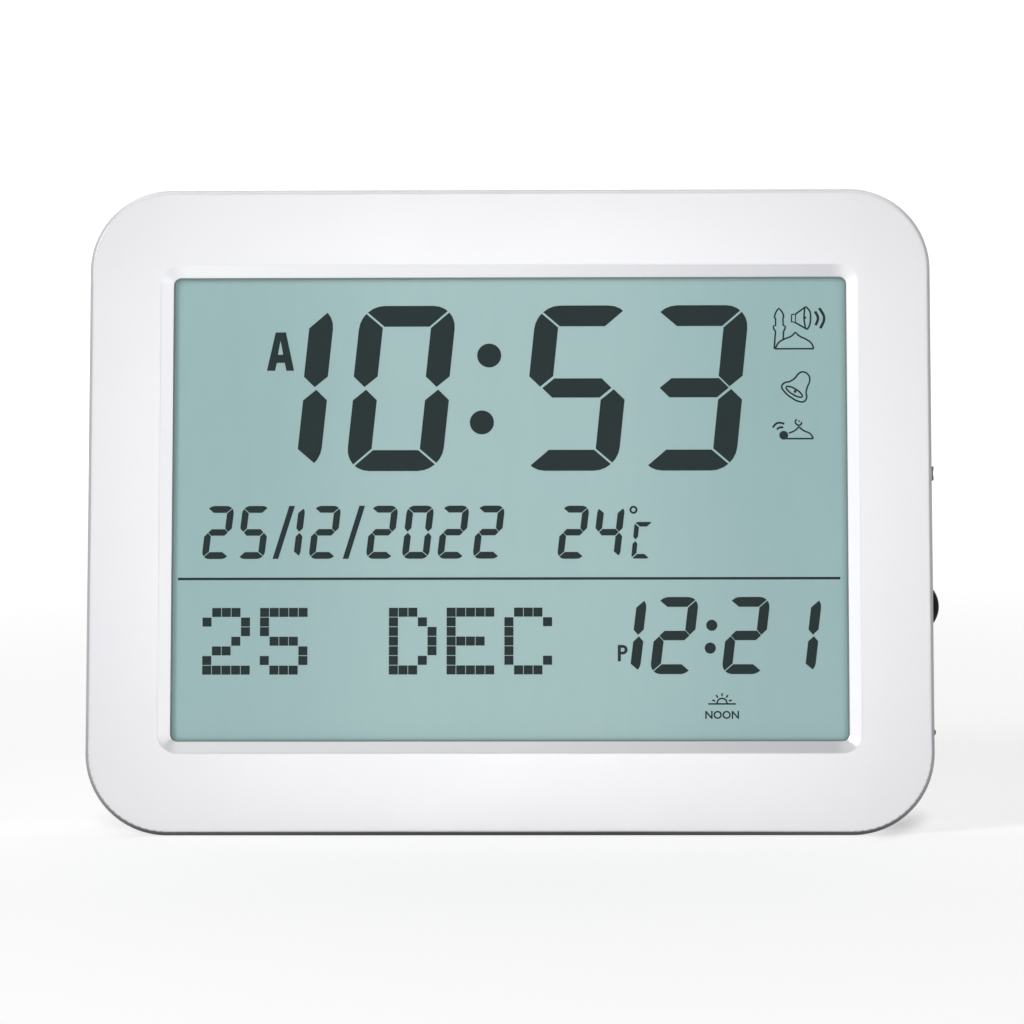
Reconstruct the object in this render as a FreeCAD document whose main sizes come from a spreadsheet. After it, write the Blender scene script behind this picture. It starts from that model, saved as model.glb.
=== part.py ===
import FreeCAD, Part

import math
import os
import re

import Sketcher
from FreeCAD import Placement, Rotation, Vector

# A desk clock with a large liquid crystal display, leaning back on a fold-out leg.
# The clock is drawn lying on its back: X to the right and Y up the front face, with the face
# in the plane z = 0 and the case behind it, so a "depth" is a distance behind the face.
# STOOD then stands every piece up, leaning back, on the flat underside of the case.

doc = FreeCAD.newDocument("azan_clock")

# ---- Driving dimensions, in millimetres and degrees --------------------------------------

DIMENSIONS = {
    # case
    "case_width": 245, "case_height": 189, "case_depth": 30,
    "corner_radius": 23.9, "corner_taper": 0.12, "side_taper": 2, "lean_angle": 12,
    "wall": 2.2, "face_thickness": 2.4, "back_thickness": 2.4,
    "front_rounding": 1.5, "back_rounding": 5, "parting_depth": 14, "seam_rounding": 0.3,
    "tongue_height": 1.6, "tongue_gap": 0.1, "tongue_thickness": 1.2, "rest_centre_depth": 13,
    "underside_trim": 0.05,
    # window in the face
    "window_width": 196.3, "window_height": 135.6, "window_bottom": 27.3,
    "window_radius": 2.2, "rim_width": 3.5, "rim_depth": 1.9, "rim_rounding": 1.2,
    "gasket_width": 4, "gasket_lip": 0.5, "gasket_thickness": 0.8,
    # display cell
    "glass_width": 205, "glass_height": 150, "glass_thickness": 1.1, "ledge": 4,
    "film_width": 202, "film_height": 141.5, "film_thickness": 0.2, "reflector_thickness": 0.3,
    "holder_wall": 1.3, "holder_shelf": 8, "holder_gap": 0.2,
    "strip_width": 2.4, "strip_length": 196, "strip_end_gap": 0.3, "strip_side_gap": 0.2,
    # main circuit board
    "board_width": 220, "board_height": 165.4, "board_thickness": 1.6, "board_depth": 9.6,
    "board_screw_inset": 3.1, "board_screw_spread": 75, "side_screw_spread": 45,
    "board_boss_radius": 2.7, "board_hole_radius": 1.4, "notch_radius": 4.4,
    "corner_notch_extra": 4, "notch_length": 20, "control_tab": 8.2, "tab_margin": 4,
    "board_screw_length": 5.6, "board_screw_head": 1.6, "board_screw_head_radius": 2.5,
    # parts soldered to the main board
    "dome_radius": 17, "dome_height": 2, "chip_row_up": 60,
    "voice_chip_across": -14, "voice_chip_length": 10.3, "voice_chip_width": 7.5,
    "voice_chip_height": 2.3, "amplifier_across": 16, "amplifier_length": 4.9,
    "amplifier_width": 3.9, "amplifier_height": 1.5, "chip_stand_off": 0.2,
    "lead_pitch": 1.27, "lead_width": 0.4, "lead_length": 1,
    "crystal_left": 10, "crystal_rise": 14, "crystal_radius": 1, "crystal_length": 6,
    "capacitor_up": 36, "capacitor_pitch": 9, "capacitor_radius": 3.15, "capacitor_height": 7,
    # case screws
    "corner_screw_across": 107.5, "corner_screw_up": 76.1,
    "middle_screw_across": 42, "middle_screw_up": 80.1,
    "front_boss_radius": 3.4, "back_boss_radius": 4.6, "well_radius": 3.3, "seat_depth": 16,
    "case_screw_radius": 1.45, "case_screw_clearance": 1.7, "case_screw_length": 10.5,
    "case_screw_head": 2, "case_screw_head_radius": 2.8, "board_screw_radius": 1.25,
    "bore_end_depth": 4.5, "small_screw_radius": 1, "small_screw_head": 1.4,
    # keys on the back
    "key_pitch": 24, "key_row_up": 149, "key_board_depth": 20.6, "key_board_width": 150,
    "key_board_height": 16, "key_cap_radius": 4.3, "key_hole_radius": 4.6,
    "key_flange_radius": 5.4, "key_flange": 0.9, "key_proud": 1, "key_chamfer": 0.4,
    "switch_side": 6, "switch_height": 3.5, "switch_floor": 0.6,
    "plunger_radius": 1.75, "plunger_fit": 0.1, "plunger_root": 1.3,
    "key_post_radius": 2.6, "key_post_spread": 70, "key_board_hole_radius": 1.2,
    "key_screw_length": 5.6, "key_pilot_length": 4.6, "key_screw_head_radius": 2.1,
    # battery compartment, three AA cells
    "cell_radius": 7.1, "cell_length": 49.3, "cell_nipple": 1.2, "nipple_radius": 2.75,
    "cell_pitch": 15.4, "cell_depth": 20.3, "tray_left": -97.5, "tray_length": 56.8,
    "tray_bottom": 48, "tray_height": 46.6, "tray_floor": 12.9, "tray_wall": 1.6,
    "door_overlap": 4.7, "door_thickness": 1.8, "door_gap": 0.3, "door_frame": 2,
    "door_frame_rise": 1.2, "door_corner": 1.2, "door_bay_corner": 1.5,
    "grip_half_width": 9, "grip_pitch": 2, "grip_width": 0.9, "grip_depth": 0.6, "grip_drop": 6,
    "locator_across": 20, "locator_half": 4, "locator_inset": 0.4, "locator_thickness": 1,
    "locator_height": 2, "contact_thickness": 0.5, "contact_inset": 1.5, "contact_height": 12,
    "cell_end_gap": 0.05,
    "spring_wire": 0.35, "spring_radius": 4.6, "spring_length": 5.2, "spring_turns": 3,
    "spring_taper": 1.1,
    # loudspeaker
    "speaker_across": 68, "speaker_up": 72, "speaker_radius": 25, "speaker_height": 13.5,
    "speaker_rim": 1.2, "magnet_radius": 15, "magnet_height": 5.4,
    "grille_hole_radius": 1.3, "grille_spacing": 5.5, "speaker_post_radius": 2.8,
    "speaker_post_reach": 28, "speaker_pilot_length": 2.8, "speaker_washer_radius": 4.4,
    "basket_sheet": 0.6, "cone_paper": 0.4, "cap_radius": 7.5, "cap_height": 1.6,
    "cone_neck_radius": 6,
    # leg
    "leg_width": 60, "leg_gap": 0.5, "leg_thickness": 4, "leg_depth": 25.4, "leg_open": 20,
    "leg_barrel_radius": 2.9, "leg_barrel_depth": 26.9, "leg_hinge_up": 118, "leg_end": 9.5,
    "leg_recess_depth": 24.8, "leg_recess_top": 125.5, "leg_recess_wall": 2.5, "leg_stop": 6,
    "leg_panel_depth": 1.2, "leg_panel_border": 7, "leg_panel_corner": 4,
    "leg_panel_foot_gap": 14, "leg_panel_hinge_gap": 12, "leg_corner": 3, "leg_rounding": 0.8,
    "stop_lug_width": 24, "stop_lug_thickness": 2.1, "stop_lug_gap": 0.5,
    "leg_wall_foot": 6.2, "leg_wall_corner": 2, "leg_wall_rise": 2, "hinge_wall_rise": 3.5,
    "hinge_wall_half": 6, "pin_end": 2, "foot_height": 8,
    "pin_radius": 1.25, "pin_fit": 0.05, "trough_gap": 0.5,
    # controls in the right side
    "wheel_across": 116.9, "wheel_up": 67.5, "wheel_radius": 8.3, "wheel_thickness": 2.7,
    "wheel_depth": 14.3, "wheel_shaft_radius": 1.6, "wheel_fit": 0.05, "wheel_slot_gap": 0.5,
    "knurl_radius": 0.42, "knurl_count": 44, "pot_left": 10.5, "pot_width": 11.8,
    "pot_height": 13, "pot_top_gap": 0.4, "wheel_end_gap": 0.1, "wheel_screw_radius": 2.6,
    "wheel_screw_head": 0.8, "notch_gap": 0.4,
    "slider_up": 106.6, "slider_height": 4, "slider_travel": 2, "slider_depth": 14.4,
    "slider_thickness": 2.2, "slider_tip": 124, "slider_root": 116.4, "ridge_width": 1.1,
    "ridge_reach": 0.25, "stem_left": 111.8, "stem_length": 5, "switch_left": 107.5,
    "switch_width": 8.5, "switch_length": 11, "switch_depth": 5.6, "switch_window_left": 111.4,
    "sensor_up": 30.7, "sensor_radius": 1.2,
    "sensor_depth": 15.5, "sensor_across": 122.8, "sensor_root": 115, "sensor_lead": 0.6,
    # keyholes for hanging
    "keyhole_across": 88, "keyhole_up": 150, "keyhole_radius": 4.2, "keyhole_slot": 4,
    "keyhole_rise": 8,
}

sizes = doc.addObject("Spreadsheet::Sheet", "Sizes")
for row, (alias, value) in enumerate(DIMENSIONS.items(), start=1):
    sizes.set(f"A{row}", alias)
    sizes.set(f"B{row}", str(value))
    sizes.setAlias(f"B{row}", alias)
doc.recompute()

# Lengths that several pieces share, as formulas of the driving dimensions.
MIDDLE_UP = "(window_bottom + window_height / 2)"
FRONT_GLASS = "(face_thickness + gasket_thickness + film_thickness)"
BACK_GLASS = f"({FRONT_GLASS} + glass_thickness)"
REFLECTOR = f"({BACK_GLASS} + glass_thickness)"
BOARD_BACK = "(board_depth + board_thickness)"
INNER_BACK = "(case_depth - back_thickness)"
KEY_BOARD_BACK = "(key_board_depth + board_thickness)"
KEY_FLANGE = f"({KEY_BOARD_BACK} + switch_height + 0.8)"
TRAY_RIGHT = "(tray_left + tray_length)"
TRAY_TOP = "(tray_bottom + tray_height)"

PIECES = []


def formula(text):
    """Point the plain names of a formula at their cells."""
    def cell(match):
        word = match.group()
        return f"Sizes.{word}" if word in DIMENSIONS else word
    return re.sub(r"[a-z_]{3,}", cell, str(text))


def bind(item, prop, text):
    item.setExpression(prop, formula(text))


def size(alias):
    return float(sizes.get(alias))


LEAN = size("lean_angle")
STOOD = Placement(
    Vector(0, -size("rest_centre_depth") / math.cos(math.radians(LEAN)), 0),
    Rotation(Vector(1, 0, 0), 90 - LEAN),
)


# ---- Ways of making a solid ---------------------------------------------------------------

def place(item, across, up, low):
    bind(item, "Placement.Base.x", across)
    bind(item, "Placement.Base.y", up)
    bind(item, "Placement.Base.z", low)


def box(name, left, low, depth, width, height, thickness):
    """A block from its lower left corner; depth is where its front face lies."""
    item = doc.addObject("Part::Box", name)
    bind(item, "Length", width)
    bind(item, "Width", height)
    bind(item, "Height", thickness)
    place(item, left, low, f"-({depth}) - ({thickness})")
    return item


def disc(name, across, up, depth, radius, thickness):
    """A cylinder with its axis front to back."""
    item = doc.addObject("Part::Cylinder", name)
    bind(item, "Radius", radius)
    bind(item, "Height", thickness)
    place(item, across, up, f"-({depth}) - ({thickness})")
    return item


def cone(name, across, up, depth, front_radius, back_radius, thickness):
    """A cone frustum with its axis front to back."""
    item = doc.addObject("Part::Cone", name)
    bind(item, "Radius1", back_radius)
    bind(item, "Radius2", front_radius)
    bind(item, "Height", thickness)
    place(item, across, up, f"-({depth}) - ({thickness})")
    return item


def rod(name, left, up, depth, radius, length):
    """A cylinder with its axis left to right."""
    item = doc.addObject("Part::Cylinder", name)
    item.Placement = Placement(Vector(), Rotation(Vector(0, 1, 0), 90))
    bind(item, "Radius", radius)
    bind(item, "Height", length)
    place(item, left, up, f"-({depth})")
    return item


def fuse(name, shapes):
    item = doc.addObject("Part::MultiFuse", name)
    item.Shapes = shapes
    return item


def cut(name, base, tools):
    item = doc.addObject("Part::Cut", name)
    item.Base = base
    item.Tool = tools[0] if len(tools) == 1 else fuse(f"{name}_tools", tools)
    return item


def piece(name, shapes, placement=STOOD):
    """A finished sub-part: one solid, or a group of identical ones."""
    item = doc.addObject("Part::Compound", name)
    item.Links = shapes
    item.Placement = placement
    PIECES.append(item)
    return item


def new_body(name, placement=STOOD):
    body = doc.addObject("PartDesign::Body", name)
    body.Placement = placement
    PIECES.append(body)
    return body


def new_sketch(body, name, depth, across=0, up=0):
    """A sketch on the plane at one depth, with its origin at (across, up)."""
    plane = [item for item in body.Origin.OriginFeatures if item.Role == "XY_Plane"][0]
    sketch = body.newObject("Sketcher::SketchObject", name)
    sketch.AttachmentSupport = [(plane, "")]
    sketch.MapMode = "FlatFace"
    bind(sketch, "AttachmentOffset.Base.x", across)
    bind(sketch, "AttachmentOffset.Base.y", up)
    bind(sketch, "AttachmentOffset.Base.z", f"-({depth})")
    return sketch


def rule(sketch, kind, *where):
    sketch.addConstraint(Sketcher.Constraint(kind, *where))


def measure(sketch, kind, *where, to):
    index = sketch.addConstraint(Sketcher.Constraint(kind, *where))
    bind(sketch, f"Constraints[{index}]", to)


def draw_circle(sketch, across, up, radius):
    circle = sketch.addGeometry(Part.Circle(Vector(9, 9, 0), Vector(0, 0, 1), 3))
    measure(sketch, "Radius", circle, 3, to=radius)
    measure(sketch, "DistanceX", -1, 1, circle, 3, 9, to=across)
    measure(sketch, "DistanceY", -1, 1, circle, 3, 9, to=up)


def draw_rectangle(sketch, left, right, low, high, radius=None):
    """A rectangle between four formulas, with round corners where a radius is given."""
    wide, tall, round_off = 100, 80, (5 if radius else 0)
    lines = [
        ((round_off - wide, -tall), (wide - round_off, -tall)),
        ((wide, round_off - tall), (wide, tall - round_off)),
        ((wide - round_off, tall), (round_off - wide, tall)),
        ((-wide, tall - round_off), (-wide, round_off - tall)),
    ]
    first = sketch.GeometryCount
    for start, end in lines:
        sketch.addGeometry(Part.LineSegment(Vector(*start, 0), Vector(*end, 0)))
    if radius:
        centres = [(1, -1), (1, 1), (-1, 1), (-1, -1)]
        for corner, (side, level) in enumerate(centres):
            centre = Vector(side * (wide - round_off), level * (tall - round_off), 0)
            circle = Part.Circle(centre, Vector(0, 0, 1), round_off)
            start = (corner - 1) * math.pi / 2
            sketch.addGeometry(Part.ArcOfCircle(circle, start, start + math.pi / 2))
        for corner in range(4):
            rule(sketch, "Tangent", first + corner, 2, first + 4 + corner, 1)
            rule(sketch, "Tangent", first + 4 + corner, 2, first + (corner + 1) % 4, 1)
        for corner in range(1, 4):
            rule(sketch, "Equal", first + 4, first + 4 + corner)
        measure(sketch, "Radius", first + 4, round_off, to=radius)
    else:
        for corner in range(4):
            rule(sketch, "Coincident", first + corner, 2, first + (corner + 1) % 4, 1)
    rule(sketch, "Horizontal", first)
    rule(sketch, "Vertical", first + 1)
    rule(sketch, "Horizontal", first + 2)
    rule(sketch, "Vertical", first + 3)
    measure(sketch, "DistanceX", -1, 1, first + 3, 1, -wide, to=left)
    measure(sketch, "DistanceX", -1, 1, first + 1, 1, wide, to=right)
    measure(sketch, "DistanceY", -1, 1, first, 1, -tall, to=low)
    measure(sketch, "DistanceY", -1, 1, first + 2, 1, tall, to=high)


def add_to(body, name, profile, length, forward=True):
    """Pad a profile towards the front of the clock, or towards its back."""
    return grow(body, "PartDesign::Pad", name, profile, length, not forward, 1)


def take_from(body, name, profile, length, forward=False):
    """Pocket a profile towards the back of the clock, or towards its front."""
    return grow(body, "PartDesign::Pocket", name, profile, length, forward, -1)


def grow(body, kind, name, profile, length, reverse, sign):
    doc.recompute()
    before = body.Shape.Volume if body.Tip else 0
    feature = body.newObject(kind, name)
    feature.Profile = profile
    feature.Reversed = reverse
    bind(feature, "Length", length)
    doc.recompute()
    if sign * (body.Shape.Volume - before) <= 0:
        raise RuntimeError(f"{body.Label}: {name} changed nothing")
    return feature


def round_edges(body, name, radius, depth, reach=1000):
    """Fillet the edges of the body in the plane at one depth that stay within a reach of the
    middle line, to both sides."""
    doc.recompute()
    base = body.Tip
    edges = []
    for number, edge in enumerate(base.Shape.Edges, start=1):
        bounds = edge.BoundBox
        level = max(abs(bounds.ZMin + depth), abs(bounds.ZMax + depth))
        if level < 0.001 and max(-bounds.XMin, bounds.XMax) < reach:
            edges.append(f"Edge{number}")
    fillet = body.newObject("PartDesign::Fillet", name)
    fillet.Base = (base, edges)
    bind(fillet, "Radius", radius)


def outline(body, name, depth, inset):
    """The outline of the case at one depth: the top and underside close in by the lean
    angle, so that the leaning clock stands flat, and the sides by a small draft."""
    half = f"(case_width / 2 - ({depth}) * tan(side_taper) - ({inset}))"
    low = f"({depth}) * tan(lean_angle) - underside_trim + ({inset})"
    high = f"case_height - ({depth}) * tan(lean_angle) - ({inset})"
    sketch = new_sketch(body, name, depth)
    radius = f"corner_radius - ({depth}) * corner_taper - ({inset})"
    draw_rectangle(sketch, f"-{half}", half, low, high, radius)
    return sketch


def loft(body, kind, name, front_depth, back_depth, inset):
    front = outline(body, f"{name}Front", front_depth, inset)
    back = outline(body, f"{name}Back", back_depth, inset)
    feature = body.newObject(f"PartDesign::{kind}Loft", name)
    feature.Profile = front
    feature.Sections = [back]
    feature.Ruled = True
    doc.recompute()


def both_ways(across, up):
    """Four places, mirrored about the middle of the window."""
    return [(f"{side} * {across}", f"{MIDDLE_UP} {sign} {up}")
            for side in (-1, 1) for sign in "-+"]


CORNER_SCREWS = both_ways("corner_screw_across", "corner_screw_up")
CASE_SCREWS = CORNER_SCREWS + both_ways("middle_screw_across", "middle_screw_up")
BOARD_SCREW_ACROSS = "(board_width / 2 - board_screw_inset)"
BOARD_SCREW_UP = "(board_height / 2 - board_screw_inset)"
BOARD_SCREWS = (
    both_ways("board_screw_spread", BOARD_SCREW_UP)
    + both_ways(BOARD_SCREW_ACROSS, "side_screw_spread")
    + [("0.0", f"{MIDDLE_UP} {sign} {BOARD_SCREW_UP}") for sign in "-+"]
)
KEYS = ("mode", "set", "down", "up", "alarm", "azan")


def key_across(number):
    return f"(({number} - {(len(KEYS) - 1) / 2}) * key_pitch)"


def screw(name, across, up, depth, radius, length, head_radius, head):
    """A pan-head screw that points to the front; depth is the seat of its head."""
    return fuse(name, [
        disc(f"{name}_shank", across, up, f"{depth} - {length}", radius, length),
        disc(f"{name}_head", across, up, depth, head_radius, head),
    ])


# ---- Front shell: the face, the sloping rim of the window and the skirt -------------------

def front_moulding():
    body = doc.addObject("PartDesign::Body", "front_moulding")
    loft(body, "Additive", "Outer", "0", "parting_depth", "0")
    round_edges(body, "FaceRounding", "front_rounding", 0)
    round_edges(body, "SeamRounding", "seam_rounding", size("parting_depth"))
    loft(body, "Subtractive", "Cavity", "face_thickness", "parting_depth", "wall")

    rim = new_sketch(body, "RimOutline", 0)
    half_rim = "(window_width / 2 + rim_width)"
    draw_rectangle(rim, f"-{half_rim}", half_rim, "window_bottom - rim_width",
                   "window_bottom + window_height + rim_width", "window_radius + rim_width")
    slope = take_from(body, "Rim", rim, "rim_depth")
    bind(slope, "TaperAngle", "-atan(rim_width / rim_depth)")
    round_edges(body, "RimRounding", "rim_rounding", 0,
                size("window_width") / 2 + size("rim_width") + 1)
    window = new_sketch(body, "WindowOutline", 0)
    draw_rectangle(window, "-window_width / 2", "window_width / 2", "window_bottom",
                   "window_bottom + window_height", "window_radius")
    take_from(body, "Window", window, "face_thickness")

    case_bosses = new_sketch(body, "CaseBossPlaces", "parting_depth")
    case_bores = new_sketch(body, "CaseBorePlaces", "parting_depth")
    for across, up in CASE_SCREWS:
        draw_circle(case_bosses, across, up, "front_boss_radius")
        draw_circle(case_bores, across, up, "case_screw_radius")
    add_to(body, "CaseBosses", case_bosses, "parting_depth - face_thickness / 2")
    board_bosses = new_sketch(body, "BoardBossPlaces", "board_depth")
    board_bores = new_sketch(body, "BoardBorePlaces", "board_depth")
    for across, up in BOARD_SCREWS:
        draw_circle(board_bosses, across, up, "board_boss_radius")
        draw_circle(board_bores, across, up, "board_screw_radius")
    add_to(body, "BoardBosses", board_bosses, "board_depth - face_thickness / 2")
    take_from(body, "CaseBores", case_bores, "parting_depth - bore_end_depth", forward=True)
    take_from(body, "BoardBores", board_bores, "board_depth - bore_end_depth", forward=True)
    return body


def table(name, standing):
    """What lies below the table top, to trim a piece level with it; standing is how it stands."""
    across, deep, thick = 300, 200, 20
    block = doc.addObject("Part::Box", name)
    block.Length = across
    block.Width = deep
    block.Height = thick
    below = Placement(Vector(-across / 2, -deep / 2, -thick), Rotation())
    block.Placement = standing.inverse() * below
    return block


def front_bezel():
    """The moulding with its underside trimmed flat."""
    piece("front_bezel", [cut("front_trimmed", front_moulding(), [table("front_table", STOOD)])])


# ---- Display: seal, polarisers, two glasses, and what presses them to the board -----------

def window_gasket():
    body = new_body("window_gasket")
    ring = new_sketch(body, "Ring", "face_thickness")
    for reach, radius in (("gasket_width", "window_radius + gasket_width"),
                          ("(-gasket_lip)", "window_radius - gasket_lip")):
        half = f"(window_width / 2 + {reach})"
        draw_rectangle(ring, f"-{half}", half, f"window_bottom - {reach}",
                       f"window_bottom + window_height + {reach}", radius)
    add_to(body, "Foam", ring, "gasket_thickness", forward=False)


def centred_sheet(name, width, height, depth, thickness):
    half_up = f"({height}) / 2"
    return box(name, f"-({width}) / 2", f"{MIDDLE_UP} - {half_up}", depth, width, height, thickness)


def display():
    film = centred_sheet("front_film", "film_width", "film_height",
                         f"{FRONT_GLASS} - film_thickness", "film_thickness")
    piece("lcd_front_polariser", [film])
    front = centred_sheet("front_pane", "glass_width", "glass_height", FRONT_GLASS, "glass_thickness")
    piece("lcd_front_glass", [front])
    back = centred_sheet("back_pane", "glass_width", "glass_height - 2 * ledge",
                         BACK_GLASS, "glass_thickness")
    piece("lcd_rear_glass", [back])
    mirror = centred_sheet("mirror_film", "film_width", "glass_height - 2 * ledge - 1",
                           REFLECTOR, "reflector_thickness")
    piece("lcd_reflector", [mirror])

    # The rubber connector strips stand between the ledges of the front glass and the board.
    strips = []
    slots = []
    for number, sign in enumerate("-+"):
        middle = f"({MIDDLE_UP} {sign} (glass_height - ledge) / 2)"
        strip_height = f"(board_depth - {BACK_GLASS})"
        strips.append(box(f"strip_{number}", "-strip_length / 2", f"{middle} - strip_width / 2",
                          BACK_GLASS, "strip_length", "strip_width", strip_height))
        slots.append(box(f"strip_slot_{number}", "-strip_length / 2 - strip_end_gap",
                         f"{middle} - strip_width / 2 - strip_side_gap", REFLECTOR,
                         "strip_length + 2 * strip_end_gap", "strip_width + 2 * strip_side_gap",
                         "board_depth"))
    piece("zebra_strips", strips)

    # The holder is a ring round the glass with a shelf behind it.
    shelf_depth = f"({REFLECTOR} + reflector_thickness)"
    ring = centred_sheet("holder_outside", "glass_width + 2 * (holder_gap + holder_wall)",
                         "glass_height + 2 * (holder_gap + holder_wall)",
                         "face_thickness", "board_depth - face_thickness")
    bay = centred_sheet("holder_bay", "glass_width + 2 * holder_gap",
                        "glass_height + 2 * holder_gap", "0", shelf_depth)
    opening = centred_sheet("holder_opening", "glass_width - 2 * holder_shelf",
                            "glass_height - 2 * holder_shelf", "0", "board_depth + 1")
    piece("lcd_holder", [cut("holder_frame", ring, [bay, opening] + slots)])


# ---- Main circuit board and what is soldered to its back ----------------------------------

def main_board():
    blank = centred_sheet("board_blank", "board_width", "board_height",
                          "board_depth", "board_thickness")
    tab = box("board_tab", "board_width / 2 - 1", "sensor_up - tab_margin", "board_depth",
              "control_tab + 1", "slider_up - sensor_up + 3 * tab_margin", "board_thickness")
    through = ("board_depth - 1", "board_thickness + 2")
    tools = []
    for number, (across, up) in enumerate(BOARD_SCREWS):
        tools.append(disc(f"board_hole_{number}", across, up, through[0], "board_hole_radius",
                          through[1]))
    for number, (across, up) in enumerate(CASE_SCREWS):
        at_corner = number < len(CORNER_SCREWS)
        reach = "(notch_radius + corner_notch_extra)" if at_corner else "notch_radius"
        low = f"{up} - notch_length" if number % 2 == 0 else f"{up} - notch_radius"
        tools.append(box(f"board_notch_{number}", f"{across} - {reach}", low, through[0],
                         f"2 * {reach}", "notch_length + notch_radius", through[1]))
    piece("main_board", [cut("board", fuse("board_outline", [blank, tab]), tools)])


def chip(name, label, pins):
    """A surface-mount chip: a moulded body with a row of leads along each long side."""
    across, length, width, height = (f"{label}_{part}"
                                     for part in ("across", "length", "width", "height"))
    shapes = [box(f"{name}_body", f"{across} - {length} / 2", f"chip_row_up - {width} / 2",
                  f"{BOARD_BACK} + chip_stand_off", length, width, height)]
    for side, root in ((-1, f"-{width} / 2 - lead_length"), (1, f"{width} / 2")):
        for number in range(pins):
            steps = number - (pins - 1) / 2
            shapes.append(box(f"{name}_lead_{side + 1}_{number}",
                              f"{across} + {steps} * lead_pitch - lead_width / 2",
                              f"chip_row_up + {root}", BOARD_BACK,
                              "lead_width", "lead_length", f"{height} / 2"))
    piece(name, [fuse(f"{name}_solid", shapes)])


def board_parts():
    dome = doc.addObject("Part::Sphere", "epoxy_dome")
    bind(dome, "Radius", "dome_radius")
    bind(dome, "Angle1", "asin((dome_radius - dome_height) / dome_radius)")
    dome.Placement.Rotation = Rotation(Vector(1, 0, 0), 180)
    place(dome, 0, MIDDLE_UP, f"dome_radius - dome_height - {BOARD_BACK}")
    piece("clock_chip", [dome])
    chip("voice_chip", "voice_chip", 8)
    chip("amplifier_chip", "amplifier", 4)
    piece("quartz_crystal", [rod("crystal_can", "crystal_left", f"{MIDDLE_UP} + crystal_rise",
                                 f"{BOARD_BACK} + crystal_radius + 0.1", "crystal_radius",
                                 "crystal_length")])
    cans = [disc(f"capacitor_{number}", f"{number - 1} * capacitor_pitch", "capacitor_up",
                 BOARD_BACK, "capacitor_radius", "capacitor_height") for number in range(3)]
    piece("capacitors", cans)
    screws = [screw(f"board_screw_{number}", across, up, BOARD_BACK, "board_screw_radius",
                    "board_screw_length", "board_screw_head_radius", "board_screw_head")
              for number, (across, up) in enumerate(BOARD_SCREWS)]
    piece("board_screws", screws)


# ---- Controls in the right side: volume wheel, slide switch, temperature sensor -----------

def volume_control():
    shaft_end = "(wheel_depth + wheel_thickness + wheel_end_gap)"
    base = box("pot_base", "wheel_across - pot_left", "wheel_up - pot_height / 2", BOARD_BACK,
               "pot_width", "pot_height", f"wheel_depth - pot_top_gap - {BOARD_BACK}")
    shaft = disc("pot_shaft", "wheel_across", "wheel_up", BOARD_BACK, "wheel_shaft_radius",
                 f"{shaft_end} - {BOARD_BACK}")
    piece("volume_potentiometer", [fuse("pot", [base, shaft])])
    piece("thumbwheel_screw", [disc("wheel_screw_head", "wheel_across", "wheel_up", shaft_end,
                                    "wheel_screw_radius", "wheel_screw_head")])

    body = new_body("volume_thumbwheel")
    rim = new_sketch(body, "WheelOutline", "wheel_depth", "wheel_across", "wheel_up")
    draw_circle(rim, 0, 0, "wheel_radius")
    draw_circle(rim, 0, 0, "wheel_shaft_radius + wheel_fit")
    add_to(body, "Wheel", rim, "wheel_thickness", forward=False)
    groove = new_sketch(body, "KnurlOutline", "wheel_depth", "wheel_across", "wheel_up")
    draw_circle(groove, "wheel_radius + 0.1", 0, "knurl_radius")
    knurl = take_from(body, "Knurl", groove, "wheel_thickness")
    turn = body.newObject("PartDesign::PolarPattern", "KnurlRing")
    turn.Originals = [knurl]
    turn.Axis = (groove, ["N_Axis"])
    turn.Angle = 360
    bind(turn, "Occurrences", "knurl_count")
    body.Tip = turn


def slide_switch():
    low = "(slider_up - slider_height / 2)"
    side_gap, stem_gap, window_gap = 0.3, 0.4, 0.1
    shell = box("switch_shell", "switch_left", "slider_up - slider_travel / 2 - switch_length / 2",
                BOARD_BACK, "switch_width", "switch_length", "switch_depth")
    window = box("switch_window", "switch_window_left",
                 f"slider_up - slider_height / 4 - slider_travel - {side_gap}",
                 f"slider_depth + {window_gap}", "stem_length",
                 f"slider_height / 2 + slider_travel + 2 * {side_gap}",
                 f"slider_thickness - 2 * {window_gap}")
    piece("slide_switch_body", [cut("switch_case", shell, [window])])
    stem = box("slider_stem", "stem_left", "slider_up - slider_height / 4",
               f"slider_depth + {stem_gap}", "stem_length", "slider_height / 2",
               f"slider_thickness - 2 * {stem_gap}")
    finger = box("slider_finger", "slider_root", low, "slider_depth",
                 "slider_tip - slider_root - ridge_reach + 0.1", "slider_height",
                 "slider_thickness")
    ridges = [box(f"slider_ridge_{number}", "slider_tip - ridge_reach",
                  f"{low} + {number} * (slider_height - ridge_width)", "slider_depth",
                  "ridge_reach", "ridge_width", "slider_thickness") for number in range(2)]
    piece("slide_switch_knob", [fuse("slider", [stem, finger] + ridges)])


def temperature_sensor():
    bead = doc.addObject("Part::Sphere", "sensor_bead")
    bind(bead, "Radius", "sensor_radius")
    place(bead, "sensor_across", "sensor_up", "-sensor_depth")
    leads = []
    for number, side in enumerate((-1, 1)):
        low = f"sensor_up + {side} * sensor_lead - sensor_lead / 2"
        leads.append(box(f"sensor_lead_{number}", "sensor_root", low, "sensor_depth - sensor_lead / 2",
                         "sensor_across - sensor_root", "sensor_lead", "sensor_lead"))
        leads.append(box(f"sensor_leg_{number}", "sensor_root", low, BOARD_BACK, "sensor_lead",
                         "sensor_lead", f"sensor_depth - {BOARD_BACK}"))
    piece("temperature_sensor", [fuse("sensor", [bead] + leads)])


# ---- Rear cover: the back shell with everything moulded into it ---------------------------

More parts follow.
